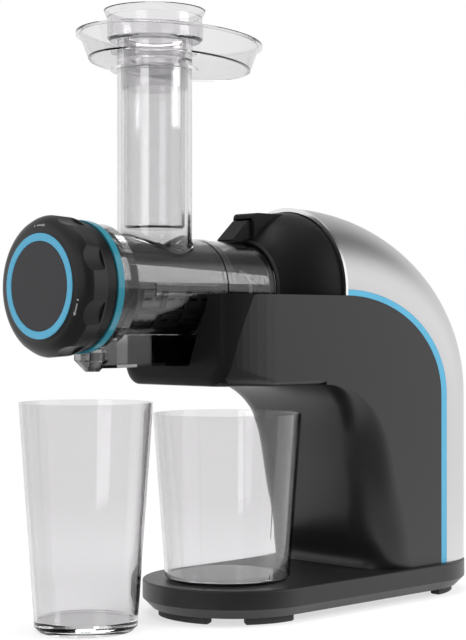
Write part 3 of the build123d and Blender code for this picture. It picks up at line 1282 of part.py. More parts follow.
def motor_plate():
    """Plate that closes the motor stage and carries the motor."""
    body = lobes(stage_2(0), MOTOR_PLATE_X, MOTOR_PLATE_X + WALL)
    body += rod_x(MOTOR_R, MOTOR_PLATE_X + WALL - 0.5, MOTOR_X, MOTOR_Z)
    body -= rod_x(MOTOR_SHAFT_R + 1, MOTOR_PLATE_X - 1, MOTOR_X + 1, MOTOR_Z)
    body += tube_x(BUSH_BOSS_R, BUSH_OUT_R + RUN_FIT, COUNTER_GEAR_X + COUNTER_GEAR_W + 1,
                   MOTOR_PLATE_X + 0.5, COUNTER_Z)
    for y, z in motor_screw_places():
        body -= rod_x(SCREW_R + 0.2, MOTOR_PLATE_X - 1, MOTOR_X + 1, z, y)
    return body


def motor_screws():
    """Screws from the plate's front into the motor's can; their heads fill the plate's wall."""
    seat = MOTOR_PLATE_X + WALL - 0.5
    return [rod_x(SCREW_R, seat, MOTOR_X + 4, z, y) + rod_x(SCREW_HEAD_R - 0.4, MOTOR_PLATE_X, seat, z, y)
            for y, z in motor_screw_places()]


def motor_can():
    """Motor's can with its front wall."""
    body = tube_x(MOTOR_R, MOTOR_R - MOTOR_CAN_T, MOTOR_X, MOTOR_END_X, MOTOR_Z)
    body += rod_x(MOTOR_R - 1, MOTOR_X, MOTOR_X + 3, MOTOR_Z)
    body -= rod_x(MOTOR_BEARING_R + RUN_FIT, MOTOR_X - 1, MOTOR_X + 5, MOTOR_Z)
    for y, z in motor_screw_places():
        body -= rod_x(SCREW_R + 0.1, MOTOR_X - 1, MOTOR_X + 4.5, z, y)
    return body


def motor_end_cap():
    """Rear end of the motor with its bearing seat."""
    body = rod_x(MOTOR_R, MOTOR_END_X, MOTOR_END_X + 4, MOTOR_Z)
    body += rod_x(MOTOR_BEARING_R + 3, MOTOR_END_X + 3, MOTOR_END_X + 6, MOTOR_Z)
    return body - rod_x(MOTOR_BEARING_R + RUN_FIT, MOTOR_END_X - 1, MOTOR_END_X + 7, MOTOR_Z)


def motor_bearings():
    """Small bearings at both ends of the rotor's shaft."""
    return [tube_x(MOTOR_BEARING_R, MOTOR_SHAFT_R + RUN_FIT, x, x + MOTOR_BEARING_W, MOTOR_Z)
            for x in (MOTOR_X, MOTOR_END_X + 1)]


def motor_magnets():
    """Two curved field magnets inside the can."""
    ring = tube_x(MOTOR_R - MOTOR_CAN_T, ROTOR_R + 1, MOTOR_X + 10, MOTOR_END_X - 10, MOTOR_Z)
    gap = box_about(0, FAR, FAR, MOTOR_Z - 7, MOTOR_Z + 7)
    return list((ring - gap).solids())


def rotor_core():
    """Laminated rotor with its slots."""
    x0, x1 = MOTOR_X + 12, MOTOR_END_X - 12
    body = tube_x(ROTOR_R, MOTOR_SHAFT_R, x0, x1, MOTOR_Z)
    slot = box_about(x0 - 1, x1 + 1, 1.5, MOTOR_Z + 10, MOTOR_Z + ROTOR_R + 1)
    for cut in ring_of(slot, ROTOR_SLOTS, MOTOR_Z):
        body -= cut
    return body


def rotor_shaft():
    """Shaft of the motor, from its pinion to the fan."""
    return rod_x(MOTOR_SHAFT_R, COUNTER_GEAR_X - 1, MOTOR_END_X + FAN_W + 9, MOTOR_Z)


def cooling_fan():
    """Fan with flat pitched blades behind the motor."""
    x0 = MOTOR_END_X + 8
    body = rod_x(FAN_HUB_R, x0, x0 + FAN_W, MOTOR_Z)
    blade_l = MOTOR_R - FAN_HUB_R - 7
    blade = Pos(x0 + FAN_W / 2, 0, MOTOR_Z + FAN_HUB_R - 1.5 + blade_l / 2) * Rot(0, 0, 35)
    blade *= Box(FAN_W, 1.4, blade_l)
    for copy in ring_of(blade, FAN_BLADES, MOTOR_Z):
        body += copy
    return body - rod_x(MOTOR_SHAFT_R, x0 - 1, x0 + FAN_W + 1, MOTOR_Z)


# --- electrics --------------------------------------------------------------------------------
def control_board():
    """Speed and rectifier board with its capacitor, relay and heat sink."""
    x0, z0 = BOARD_X, BOARD_Z
    y = -BODY_INNER_W + STANDOFF_H
    face = y + BOARD_T - 0.1
    body = slab(x0, x0 + BOARD_L, y, y + BOARD_T, z0, z0 + BOARD_H)
    body += rod_y(6.5, 8, x0 + 9, z0 + 14, y + 8.6)
    body += slab(x0 + 18, x0 + 32, face, y + 14, z0 + 7, z0 + 20)
    body += slab(x0 + 4, x0 + 32, face, y + 4, z0 + 28, z0 + 40)
    for i in range(SINK_FINS):
        fin_x = x0 + 4 + SINK_PITCH * i
        body += slab(fin_x, fin_x + 2, y + 3, y + 11, z0 + 28, z0 + 40)
    return body


def board_standoffs():
    """Four pillars between the near side wall and the board."""
    y = -BODY_INNER_W + STANDOFF_H / 2
    return [rod_y(STANDOFF_R, STANDOFF_H / 2, x, z, y)
            for x in (BOARD_X + 3, BOARD_X + BOARD_L - 3) for z in (BOARD_Z + 3, BOARD_Z + BOARD_H - 3)]


def switch_block(grow, y0, y1):
    """Box on the far side wall, larger than the switch's opening by grow all round."""
    half_l, half_h = SWITCH_L / 2 + grow, SWITCH_H / 2 + grow
    return slab(SWITCH_X - half_l, SWITCH_X + half_l, y0, y1, SWITCH_Z - half_h, SWITCH_Z + half_h)


def cross_pin(radius, length):
    """Bar along X through the rocker's pivot."""
    return Pos(SWITCH_X, ROCKER_Y, SWITCH_Z) * Rot(0, 90, 0) * Cylinder(radius, length)


def switch_housing():
    """Bezel and body of the rocker switch on the far side wall."""
    body = switch_block(-SEAT_GAP, BODY_HALF_W - 16, BODY_HALF_W + 0.5)
    body += switch_block(SWITCH_BEZEL, BODY_HALF_W, BODY_HALF_W + 1.6)
    body -= switch_block(-SWITCH_RIM, BODY_HALF_W - 9, BODY_HALF_W + 3)
    return body + cross_pin(SWITCH_PIN_R, SWITCH_L - 4)


def rocker_switch():
    """Rocker with a shallow V face, on its cross pin."""
    half = SWITCH_H / 2 - SWITCH_RIM - 0.9
    points = [(3.2, 0), (5.0, half - 0.8), (1.0, half), (-3.4, 2.5), (-3.4, -2.5), (1.0, -half),
              (5.0, -half + 0.8)]
    face = make_face(Polyline(*[(0, a, b) for a, b in points], close=True).edges())
    length = SWITCH_L - 2 * SWITCH_RIM - 2 * FREE_GAP
    body = Pos(SWITCH_X - length / 2, ROCKER_Y, SWITCH_Z) * extrude(face, amount=length, dir=(1, 0, 0))
    return body - cross_pin(SWITCH_PIN_R + RUN_FIT, SWITCH_L)


def interlock_switch():
    """Microswitch behind the bulkhead; its plunger reaches through to the drum's spigot."""
    x0 = BULKHEAD_X + BULKHEAD_T
    y, z = INTERLOCK_Y, AXIS_Z - INTERLOCK_DROP
    body = slab(x0, x0 + 11, y - 4, y + 8, z - 11, z + 8)
    return body + rod_x(INTERLOCK_PLUNGER_R, SPIGOT_END_X + FREE_GAP, x0 + 1, z, y)


# --- vessels ----------------------------------------------------------------------------------
def vessel(x, y, z, r_low, r_top, height, wall, floor):
    """Tapered round vessel with a rounded foot and a thick floor."""
    foot = VESSEL_FOOT_ROUND
    points = [(0, 0), (r_low - foot, 0), (r_low, foot), (r_top, height), (r_top - wall, height),
              (r_low - wall, floor), (0, floor)]
    return turned_z(outline(points), x, y, z)


def juice_tumbler():
    """Tumbler in front of the pedestal, under the spout."""
    return vessel(TUMBLER_X, TUMBLER_Y, 0, TUMBLER_R_LOW, TUMBLER_R_TOP, TUMBLER_H, TUMBLER_WALL,
                  TUMBLER_FLOOR)


def pulp_container():
    """Container on the pedestal, under the chute."""
    return vessel(CONTAINER_X, 0, BASE_TOP, CONTAINER_R_LOW, CONTAINER_R_TOP, CONTAINER_H, CONTAINER_WALL,
                  CONTAINER_FLOOR)


# --- writing ----------------------------------------------------------------------------------
def all_parts():
    right = housing_right(housing_shell())
    return {
        "base_plate": base_plate(),
        "base_bottom": base_bottom(),
        "base_screws": base_screws(),
        "rubber_feet": rubber_feet(),
        "cord_gland": cord_gland(),
        "housing_right": right,
        "housing_left": housing_left(right),
        "spine_cover": spine_cover(),
        "accent_strip_right": accent_strip(-1),
        "accent_strip_left": accent_strip(1),
        "arch_trim": arch_trim(),
        "drum_cradle": drum_cradle(),
        "housing_face": housing_face(),
        "docking_seal": docking_seal(),
        "release_latch": release_latch(),
        "latch_pin": latch_pin(),
        "latch_spring": latch_spring(),
        "gearbox_case": gearbox_case(),
        "gearbox_cover": gearbox_cover(),
        "gearbox_screws": gearbox_screws(),
        "motor_plate": motor_plate(),
        "motor_screws": motor_screws(),
        "motor_can": motor_can(),
        "motor_end_cap": motor_end_cap(),
        "motor_bearings": motor_bearings(),
        "motor_magnets": motor_magnets(),
        "rotor_core": rotor_core(),
        "rotor_shaft": rotor_shaft(),
        "cooling_fan": cooling_fan(),
        "motor_pinion": motor_pinion(),
        "countershaft": countershaft(),
        "countershaft_bushes": countershaft_bushes(),
        "counter_gear": counter_gear(),
        "counter_pinion": counter_pinion(),
        "output_gear": output_gear(),
        "output_shaft": output_shaft(),
        "output_bearing_front": bearing(FRONT_BEARING_X),
        "output_bearing_rear": bearing(REAR_BEARING_X),
        "shaft_seal": shaft_seal(),
        "control_board": control_board(),
        "board_standoffs": board_standoffs(),
        "switch_housing": switch_housing(),
        "rocker_switch": rocker_switch(),
        "interlock_switch": interlock_switch(),
        "drum_body": drum_body(),
        "front_ring": front_ring(),
        "drum_seal": drum_seal(),
        "strainer_frame": strainer_frame(),
        "strainer_mesh": strainer_mesh(),
        "auger": auger(),
        "auger_shaft": auger_shaft(),
        "cap_grip": cap_grip(),
        "cap_disc": cap_disc(),
        "cap_ring": cap_ring(),
        "cap_gasket": cap_gasket(),
        "cap_bush": cap_bush(),
        "feed_tray": feed_tray(),
        "pusher": pusher(),
        "juice_tumbler": juice_tumbler(),
        "pulp_container": pulp_container(),
    }


def main():
    """Writes every part, moved so that the origin lies under the middle."""
    os.makedirs("parts", exist_ok=True)
    for name, made in all_parts().items():
        items = made if isinstance(made, list) else [made]
        solids = [Pos(-LENGTH_MIDDLE, 0, 0) * s for item in items for s in item.solids()]
        shape = solids[0] if len(solids) == 1 else Compound(children=solids)
        export_step(shape, f"parts/{name}.step")
        print(name, len(solids))


main()
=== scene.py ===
"""Looks of the cold press juicer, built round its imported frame.

Metres, +Z up, +X towards the rounded back; tints and levels are linear.
"""
import json
import math

import bmesh
import bpy
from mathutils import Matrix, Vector


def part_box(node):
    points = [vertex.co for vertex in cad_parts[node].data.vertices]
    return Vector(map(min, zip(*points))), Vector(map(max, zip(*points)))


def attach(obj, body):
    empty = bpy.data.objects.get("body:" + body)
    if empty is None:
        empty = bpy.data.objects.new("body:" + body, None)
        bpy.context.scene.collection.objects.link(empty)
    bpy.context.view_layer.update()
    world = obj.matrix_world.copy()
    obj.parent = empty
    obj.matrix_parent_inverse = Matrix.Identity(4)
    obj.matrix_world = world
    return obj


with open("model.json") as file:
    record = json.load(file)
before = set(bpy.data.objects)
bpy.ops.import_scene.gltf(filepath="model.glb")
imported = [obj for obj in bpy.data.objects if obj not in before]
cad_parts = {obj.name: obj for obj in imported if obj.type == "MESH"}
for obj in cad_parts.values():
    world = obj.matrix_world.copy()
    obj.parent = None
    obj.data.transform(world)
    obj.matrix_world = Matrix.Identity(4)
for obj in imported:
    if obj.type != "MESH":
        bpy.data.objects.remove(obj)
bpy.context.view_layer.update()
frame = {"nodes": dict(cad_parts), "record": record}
nodes = frame["nodes"]

MM = 0.001

# places read from the frame: the cap's face and the drum's axis
CAP_LOW, CAP_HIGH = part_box("cap_ring")
FACE_X = CAP_LOW.x
AXIS_Z = (CAP_LOW.z + CAP_HIGH.z) / 2

# edges that turn by less are shaded smooth
SMOOTH_BELOW = math.radians(28)

# clear pieces that cast no shadow, so that what they hold or stand before keeps its light
SHADOWLESS = ("drum_body", "feed_tray", "pusher", "pulp_container")


# --- node helpers -----------------------------------------------------------------------------
class Nodes:
    """Short names for building one node tree."""

    def __init__(self, owner):
        owner.use_nodes = True
        self.tree = owner.node_tree
        self.tree.nodes.clear()

    def add(self, kind, **values):
        node = self.tree.nodes.new(kind)
        for key, value in values.items():
            setattr(node, key, value)
        return node

    def link(self, source, target):
        self.tree.links.new(source, target)

    def coordinates(self, kind="Object"):
        """The object's own metres, or for a world the direction, as "Generated"."""
        return self.add("ShaderNodeTexCoord").outputs[kind]

    def split(self, vector):
        """x, y and z of a vector."""
        node = self.add("ShaderNodeSeparateXYZ")
        self.link(vector, node.inputs[0])
        return node.outputs

    def math(self, operation, a, b=None, clamp=False):
        """Result of one operation on numbers or sockets."""
        node = self.add("ShaderNodeMath", operation=operation, use_clamp=clamp)
        for socket, value in zip(node.inputs, (a, b)):
            if value is None:
                continue
            if isinstance(value, (int, float)):
                socket.default_value = value
            else:
                self.link(value, socket)
        return node.outputs[0]

    def ramp(self, source, stops):
        """Grey level along a source from 0 to 1; each stop is (place, level)."""
        node = self.add("ShaderNodeValToRGB")
        elements = node.color_ramp.elements
        while len(elements) < len(stops):
            elements.new(0.5)
        for element, (place, level) in zip(elements, stops):
            element.position = place
            element.color = (level, level, level, 1.0)
        self.link(source, node.inputs[0])
        return node.outputs[0]

    def noise(self, scale, detail=3.0, rough=0.5, stretch=(1, 1, 1)):
        """Noise over the object, with its scale in waves per metre."""
        mapping = self.add("ShaderNodeMapping")
        mapping.inputs["Scale"].default_value = stretch
        self.link(self.coordinates(), mapping.inputs["Vector"])
        node = self.add("ShaderNodeTexNoise")
        node.inputs["Scale"].default_value = scale
        node.inputs["Detail"].default_value = detail
        node.inputs["Roughness"].default_value = rough
        self.link(mapping.outputs["Vector"], node.inputs["Vector"])
        return node.outputs[0]

    def mix(self, factor, a, b):
        """Colour a where the factor is 0, colour b where it is 1."""
        node = self.add("ShaderNodeMix", data_type="RGBA")
        self.link(factor, node.inputs[0])
        for socket, value in ((node.inputs[6], a), (node.inputs[7], b)):
            if isinstance(value, tuple):
                socket.default_value = (*value, 1.0)
            else:
                self.link(value, socket)
        return node.outputs[2]

    def span(self, source, low, high, from_low=0.0, from_high=1.0):
        """Source rescaled from one span to another and held at its ends."""
        node = self.add("ShaderNodeMapRange")
        node.inputs["From Min"].default_value = from_low
        node.inputs["From Max"].default_value = from_high
        node.inputs["To Min"].default_value = low
        node.inputs["To Max"].default_value = high
        self.link(source, node.inputs["Value"])
        return node.outputs[0]

    def bump(self, height, strength, distance):
        """Normal of a surface with this relief."""
        node = self.add("ShaderNodeBump")
        node.inputs["Strength"].default_value = strength
        node.inputs["Distance"].default_value = distance
        self.link(height, node.inputs["Height"])
        return node.outputs[0]


def material(name, **sockets):
    """New material with one Principled shader; sockets are set by their names, _ for a space."""
    made = bpy.data.materials.new(name)
    tree = Nodes(made)
    output = tree.add("ShaderNodeOutputMaterial")
    shader = tree.add("ShaderNodeBsdfPrincipled")
    tree.link(shader.outputs[0], output.inputs[0])
    for key, value in sockets.items():
        shader.inputs[key.replace("_", " ")].default_value = value
    return made, tree, shader


def scaled(color, share):
    return tuple(channel * share for channel in color)


def roughen(tree, shader, noise, rough, steps):
    """Roughness follows a noise, from one step off its value to another."""
    low, high = steps
    tree.link(tree.span(noise, rough + low, rough + high), shader.inputs["Roughness"])


def add_object(name, data):
    made = bpy.data.objects.new(name, data)
    bpy.context.scene.collection.objects.link(made)
    return made


# --- finishes ---------------------------------------------------------------------------------
# clouds and scales are noise in waves per metre, shades and spreads are shares of the colour,
# wanders are steps in roughness, and heights are the relief in metres
PLASTIC_CLOUD = 38.0
PLASTIC_SPREAD = 0.08
PLASTIC_WANDER = (-0.04, 0.04)
GRAIN_SCALE = 2600.0
GRAIN_HEIGHT = 0.04 * MM

# the cap behind this x is its skirt, darkened with painted shade: place and tint
CAP_SKIRT_SHADE = (FACE_X + 22 * MM, (0.0015, 0.0015, 0.0015))
SKIRT_SHADE_BLEND = 1 * MM


def moulded(name, color, rough, grain=0.15, specular=0.5, shade_behind=None):
    """Moulded plastic: fine spark-eroded grain, and painted shade behind a place, as (x, tint)."""
    made, tree, shader = material(name, Specular_IOR_Level=specular)
    cloud = tree.noise(PLASTIC_CLOUD, detail=2.0)
    shade = tree.mix(cloud, scaled(color, 1 - PLASTIC_SPREAD), scaled(color, 1 + PLASTIC_SPREAD))
    # painted shade: behind the given x the colour blends into a darker tint
    if shade_behind:
        start, tint = shade_behind
        along = tree.split(tree.coordinates())[0]
        shade = tree.mix(tree.span(along, 0.0, 1.0, start, start + SKIRT_SHADE_BLEND), shade, tint)
    tree.link(shade, shader.inputs["Base Color"])
    roughen(tree, shader, cloud, rough, PLASTIC_WANDER)
    grit = tree.noise(GRAIN_SCALE, detail=2.0)
    tree.link(tree.bump(grit, grain, GRAIN_HEIGHT), shader.inputs["Normal"])
    return made


BRUSH_SCALE = 900.0
BRUSH_BREAKS = 0.7
BRUSH_SHADE = 0.94
BRUSH_WANDER = (-0.05, 0.07)
BRUSH_RELIEF = 0.04
BRUSH_HEIGHT = 0.02 * MM


def brushed(name, color, rough, across):
    """Brushed sheet metal with its lines along Y; a small across draws them out further."""
    made, tree, shader = material(name, Metallic=1.0)
    lines = tree.noise(BRUSH_SCALE, detail=4.0, rough=BRUSH_BREAKS, stretch=(1.0, across, 1.0))
    tree.link(tree.mix(lines, scaled(color, BRUSH_SHADE), color), shader.inputs["Base Color"])
    roughen(tree, shader, lines, rough, BRUSH_WANDER)
    tree.link(tree.bump(lines, BRUSH_RELIEF, BRUSH_HEIGHT), shader.inputs["Normal"])
    return made


METAL_CLOUD = 220.0
METAL_SHADE = 0.88
METAL_WANDER = (-0.06, 0.06)


def metal(name, color, rough):
    """Turned or cast metal."""
    made, tree, shader = material(name, Metallic=1.0)
    cloud = tree.noise(METAL_CLOUD)
    tree.link(tree.mix(cloud, scaled(color, METAL_SHADE), color), shader.inputs["Base Color"])
    roughen(tree, shader, cloud, rough, METAL_WANDER)
    return made


CLEAR_IOR = 1.49
CLEAR_ROUGH = 0.015
SCUFF_SCALE = 60.0
SCUFF_ROUGH = 0.05
SCUFF_SPAN = (0.45, 0.75)

# painted shade on a clear wall seen edge on, in place of the dark room seen through its rims: how fast
# it darkens, by how much at most, and to what tint
EDGE_POWER = 3.2
EDGE_SHADE_SHARE = 0.85
EDGE_SHADE_TINT = (0.1, 0.098, 0.102)


def clear(name, tint, specular=0.5):
    """Clear plastic with faint handling marks and painted dark edges; tint is a colour or a function of
    the node tree.
    """
    made, tree, shader = material(
        name, IOR=CLEAR_IOR, Transmission_Weight=1.0, Specular_IOR_Level=specular
    )
    if callable(tint):
        tint = tint(tree)
    # painted shade: the tint darkens where the wall is seen edge on
    weight = tree.add("ShaderNodeLayerWeight")
    edge = tree.math("POWER", weight.outputs["Facing"], EDGE_POWER)
    edge = tree.math("MULTIPLY", edge, EDGE_SHADE_SHARE)
    tree.link(tree.mix(edge, tint, EDGE_SHADE_TINT), shader.inputs["Base Color"])
    cloud = tree.noise(SCUFF_SCALE)
    scuffed = tree.span(cloud, CLEAR_ROUGH, CLEAR_ROUGH + SCUFF_ROUGH, *SCUFF_SPAN)
    tree.link(scuffed, shader.inputs["Roughness"])
    return made


# the drum's smoke: reach above and below its axis, and (share of that height, tint)
SMOKE_REACH = 60 * MM
SMOKE_STOPS = ((0.0, 0.32), (0.17, 0.36), (0.26, 0.68), (0.78, 0.7), (0.88, 0.9))


def smoke_tint(tree):
    """Smoke tint by height: darker towards the bottom, at the duct, than up at the tube."""
    height = tree.split(tree.coordinates())[2]
    height = tree.span(height, 0.0, 1.0, AXIS_Z - SMOKE_REACH, AXIS_Z + SMOKE_REACH)
    return tree.ramp(height, SMOKE_STOPS)


GLOSS_CLOUD = 45.0
GLOSS_SHADE = 0.95
GLOSS_WANDER = (-0.03, 0.05)


def gloss(name, color, rough):
    """Glossy coloured plastic."""
    made, tree, shader = material(name)
    cloud = tree.noise(GLOSS_CLOUD, detail=2.0)
    tree.link(tree.mix(cloud, scaled(color, GLOSS_SHADE), color), shader.inputs["Base Color"])
    roughen(tree, shader, cloud, rough, GLOSS_WANDER)
    return made


BLOOM_SCALE = 120.0
BLOOM_SHADE = 1.5
BLOOM_ROUGH = 0.71
BLOOM_WANDER = (-0.09, 0.09)
RUBBER_GRAIN_SCALE = 1800.0
RUBBER_GRAIN = 0.2


def rubber(name, color):
    """Matt rubber with a fine bloom."""
    made, tree, shader = material(name)
    bloom = tree.noise(BLOOM_SCALE, detail=4.0)
    tree.link(tree.mix(bloom, color, scaled(color, BLOOM_SHADE)), shader.inputs["Base Color"])
    roughen(tree, shader, bloom, BLOOM_ROUGH, BLOOM_WANDER)
    grit = tree.noise(RUBBER_GRAIN_SCALE)
    tree.link(tree.bump(grit, RUBBER_GRAIN, GRAIN_HEIGHT), shader.inputs["Normal"])
    return made


def make_materials():
    """One material for each slot of the record."""
    return {
        "body_black": moulded("body_black", (0.0095, 0.009, 0.0098), 0.36, specular=0.55),
        "base_black": moulded("base_black", (0.012, 0.0113, 0.0124), 0.38),
        "cradle_black": moulded("cradle_black", (0.006, 0.0058, 0.0062), 0.42, specular=0.14),
        "cap_black": moulded("cap_black", (0.007, 0.0067, 0.0074), 0.36, specular=0.4, shade_behind=CAP_SKIRT_SHADE),
        "cap_face": moulded("cap_face", (0.024, 0.0232, 0.0252), 0.34, grain=0.05, specular=0.25),
        "silver_cover": brushed("silver_cover", (0.67, 0.662, 0.67), 0.34, across=0.04),
        "bright_trim": brushed("bright_trim", (0.9, 0.9, 0.9), 0.2, across=0.1),
        "accent_blue": gloss("accent_blue", (0.06, 0.29, 0.44), 0.35),
        "accent_teal": gloss("accent_teal", (0.02, 0.15, 0.2), 0.12),
        "smoke_clear": clear("smoke_clear", smoke_tint, specular=0.8),
        "pale_clear": clear("pale_clear", (0.885, 0.878, 0.887)),
        "vessel_clear": clear("vessel_clear", (0.84, 0.833, 0.84)),
        "auger_dark": moulded("auger_dark", (0.008, 0.008, 0.0085), 0.35, specular=0.2),
        "mesh_steel": brushed("mesh_steel", (0.12, 0.12, 0.125), 0.35, across=0.1),
        "rubber_black": rubber("rubber_black", (0.022, 0.021, 0.023)),
        "seal_dark": rubber("seal_dark", (0.012, 0.012, 0.013)),
        "seal_grey": rubber("seal_grey", (0.3, 0.3, 0.31)),
        "steel": metal("steel", (0.6, 0.6, 0.61), 0.28),
        "gearbox_alloy": metal("gearbox_alloy", (0.55, 0.55, 0.56), 0.48),
        "gear_nylon": moulded("gear_nylon", (0.62, 0.6, 0.54), 0.45),
        "bush_bronze": metal("bush_bronze", (0.5, 0.33, 0.16), 0.4),
        "magnet": metal("magnet", (0.1, 0.1, 0.11), 0.5),
        "board_green": gloss("board_green", (0.02, 0.12, 0.05), 0.35),
    }


def dress_nodes(materials):
    """Every CAD node takes the material of its slot and shades smooth between its sharp edges."""
    slots = {row["node"]: row["material_slot"] for row in frame["record"]["subparts"]}
    for name, node in nodes.items():
        node.data.materials.clear()
        node.data.materials.append(materials[slots[name]])
        node.data.polygons.foreach_set("use_smooth", [True] * len(node.data.polygons))
        node.data.set_sharp_from_angle(angle=SMOOTH_BELOW)


# --- marks on the cap -------------------------------------------------------------------------
# a mark is a dot, a bar and an arrow head on one circle; angles are in degrees
MARK_R = 40.3 * MM
MARK_MIDDLES = {"upper": 1.0, "lower": 113.0}    # from the top towards the camera's side
BAR_SPAN = (-6.0, 3.0)
BAR_HALF_W = 0.45 * MM
BAR_STEPS = 6
ARROW_TIP = 6.5
ARROW_HALF_W = 1.15 * MM
DOT_AT = -9.5
DOT_R = 0.7 * MM
DOT_SIDES = 12
MARK_TOP = 0.12 * MM
MARK_LOW = -0.15 * MM
CAST_FROM = 10 * MM
PRINT_TINT = (0.2, 0.2, 0.205)


def on_cap(radius, degrees, lift):
    """Point over the cap's front, at a radius and an angle about its axis."""
    angle = math.radians(degrees)
    across = -radius * math.sin(angle)
    start = Vector((FACE_X - CAST_FROM, across, AXIS_Z + radius * math.cos(angle)))
    _, place, normal, _ = nodes["cap_grip"].ray_cast(start, Vector((1, 0, 0)))
    return place + normal * lift


def mark_loops(middle):
    """Outlines of the bar, its arrow head and the dot, each a loop of (radius, degrees)."""
    low, high = BAR_SPAN
    steps = [middle + low + (high - low) * i / BAR_STEPS for i in range(BAR_STEPS + 1)]
    bar = [(MARK_R + BAR_HALF_W, degrees) for degrees in steps]
    bar += [(MARK_R - BAR_HALF_W, degrees) for degrees in reversed(steps)]
    head = [
        (MARK_R + ARROW_HALF_W, middle + high),
        (MARK_R, middle + ARROW_TIP),
        (MARK_R - ARROW_HALF_W, middle + high),
    ]
    dot = []
    for i in range(DOT_SIDES):
        turn = 2 * math.pi * i / DOT_SIDES
        along = math.degrees(DOT_R * math.sin(turn) / MARK_R)
        dot.append((MARK_R + DOT_R * math.cos(turn), middle + DOT_AT + along))
    return bar, head, dot


def cap_mark(name, middle, printed):
    """Generic turning mark printed on the cap: thin closed plates that sink into its face."""
    mesh = bpy.data.meshes.new(name)
    shape = bmesh.new()
    for loop in mark_loops(middle):
        top = [shape.verts.new(on_cap(radius, degrees, MARK_TOP)) for radius, degrees in loop]
        low = [shape.verts.new(on_cap(radius, degrees, MARK_LOW)) for radius, degrees in loop]
        shape.faces.new(top)
        shape.faces.new(low[::-1])
        for i in range(len(loop)):
            shape.faces.new((top[i - 1], low[i - 1], low[i], top[i]))
    bmesh.ops.recalc_face_normals(shape, faces=shape.faces)
    shape.to_mesh(mesh)
    shape.free()
    mesh.materials.append(printed)
    piece = add_object(name, mesh)
    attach(piece, "cap")


# --- camera -----------------------------------------------------------------------------------
# place in the frame, turn about Z, upward pitch, and focal length in the photo's pixels
CAMERA_AT = (-0.88442, -0.87816, 0.20895)
CAMERA_TURN = math.radians(44.305)
CAMERA_PITCH = math.radians(0.219)
FOCAL_PX = 1674.61
PHOTO_H = 640
SENSOR_MM = 36.0
CLIP_START = 0.05


def make_camera():
    data = bpy.data.cameras.new("camera")
    data.sensor_width = SENSOR_MM
    data.lens = FOCAL_PX * SENSOR_MM / PHOTO_H
    data.clip_start = CLIP_START
    camera = add_object("camera", data)
    camera.location = CAMERA_AT
    camera.rotation_euler = (math.pi / 2 + CAMERA_PITCH, 0, -CAMERA_TURN)
    bpy.context.scene.camera = camera


# --- studio -----------------------------------------------------------------------------------
# cards and softbox are fields of directions seen from the object, in degrees:
# middle azimuth from +X towards +Y, half width, lowest and highest elevation, soft edge
TOWARDS_CAMERA = -90 - math.degrees(CAMERA_TURN)
BACK_CARD = (-115.0, 35.0, -90, 90, 2.0)
SIDE_CARD = (TOWARDS_CAMERA + 75, 22.0, 38, 90, 5.0)
FAR_CARD = (-12.0, 17.0, 24, 70, 6.0)
SOFTBOX = (-35.0, 27.0, -25, 40, 3.0)
BACK_CARD_DEPTH = 0.95
SIDE_CARD_DEPTH = 0.75
FAR_CARD_DEPTH = 0.85
CARD_TINT = (0.02, 0.02, 0.022)
SOFTBOX_TINT = (1.15, 1.15, 1.15)

# light that matt surfaces get, and the room that gloss and clear walls show:
# (share of the way from the horizon to the zenith, level)
DIFFUSE_TINT = (0.62, 0.62, 0.63)
ROOM_STOPS = ((0.0, 0.95), (0.22, 0.9), (0.42, 0.5), (0.66, 0.5), (0.78, 1.0))
WHITE = (1.0, 1.0, 1.0)


def card_field(tree, azimuth, elevation, card):
    """1 inside a card's field of directions, 0 outside."""
    middle, half, low, high, soft = card
    away = tree.math("ABSOLUTE", tree.math("SUBTRACT", azimuth, math.radians(middle)))
    across = tree.span(away, 1.0, 0.0, math.radians(half - soft), math.radians(half + soft))
    above = tree.span(elevation, 0.0, 1.0, math.radians(low - soft), math.radians(low + soft))
    below = tree.span(elevation, 1.0, 0.0, math.radians(high - soft), math.radians(high + soft))
    return tree.math("MULTIPLY", across, tree.math("MULTIPLY", above, below))


def glossy_room(tree, azimuth, elevation, room):
    """The room as gloss shows it, with the dark cards and the softbox in it."""
    back = card_field(tree, azimuth, elevation, BACK_CARD)
    back = tree.math("MULTIPLY", back, BACK_CARD_DEPTH)
    side = card_field(tree, azimuth, elevation, SIDE_CARD)
    side = tree.math("MULTIPLY", side, SIDE_CARD_DEPTH)
    shown = tree.mix(tree.math("MAXIMUM", back, side), room, CARD_TINT)
    box = card_field(tree, azimuth, elevation, SOFTBOX)
    shown = tree.mix(box, shown, SOFTBOX_TINT)
    far = card_field(tree, azimuth, elevation, FAR_CARD)
    far = tree.math("MULTIPLY", far, FAR_CARD_DEPTH)
    return tree.mix(far, shown, CARD_TINT)


def make_world():
    """White for the camera, a softer level for matt surfaces, a room for clear walls and gloss."""
    world = bpy.data.worlds.new("studio")
    tree = Nodes(world)
    output = tree.add("ShaderNodeOutputWorld")
    path = tree.add("ShaderNodeLightPath")
    x, y, z = tree.split(tree.coordinates("Generated"))
    azimuth = tree.math("ARCTAN2", y, x)
    elevation = tree.math("ARCSINE", z)
    room = tree.ramp(tree.span(elevation, 0.0, 1.0, 0.0, math.pi / 2), ROOM_STOPS)
    glossy = glossy_room(tree, azimuth, elevation, room)
    level = tree.mix(path.outputs["Is Glossy Ray"], DIFFUSE_TINT, glossy)
    level = tree.mix(path.outputs["Is Transmission Ray"], level, room)
    level = tree.mix(path.outputs["Is Camera Ray"], level, WHITE)
    background = tree.add("ShaderNodeBackground")
    tree.link(level, background.inputs["Color"])
    tree.link(background.outputs[0], output.inputs[0])
    bpy.context.scene.world = world


# lamps: place, size and watts; all point at the middle of the juicer
LIT_POINT = (0.0, 0.0, 0.2)
LAMPS = {
    "key": ((0.9, -1.3, 1.1), (0.9, 1.2), 26.0),
    "top": ((-0.2, 0.1, 1.7), (1.4, 1.4), 20.0),
    "fill": ((-1.6, -0.4, 0.7), (0.8, 1.2), 9.0),
}


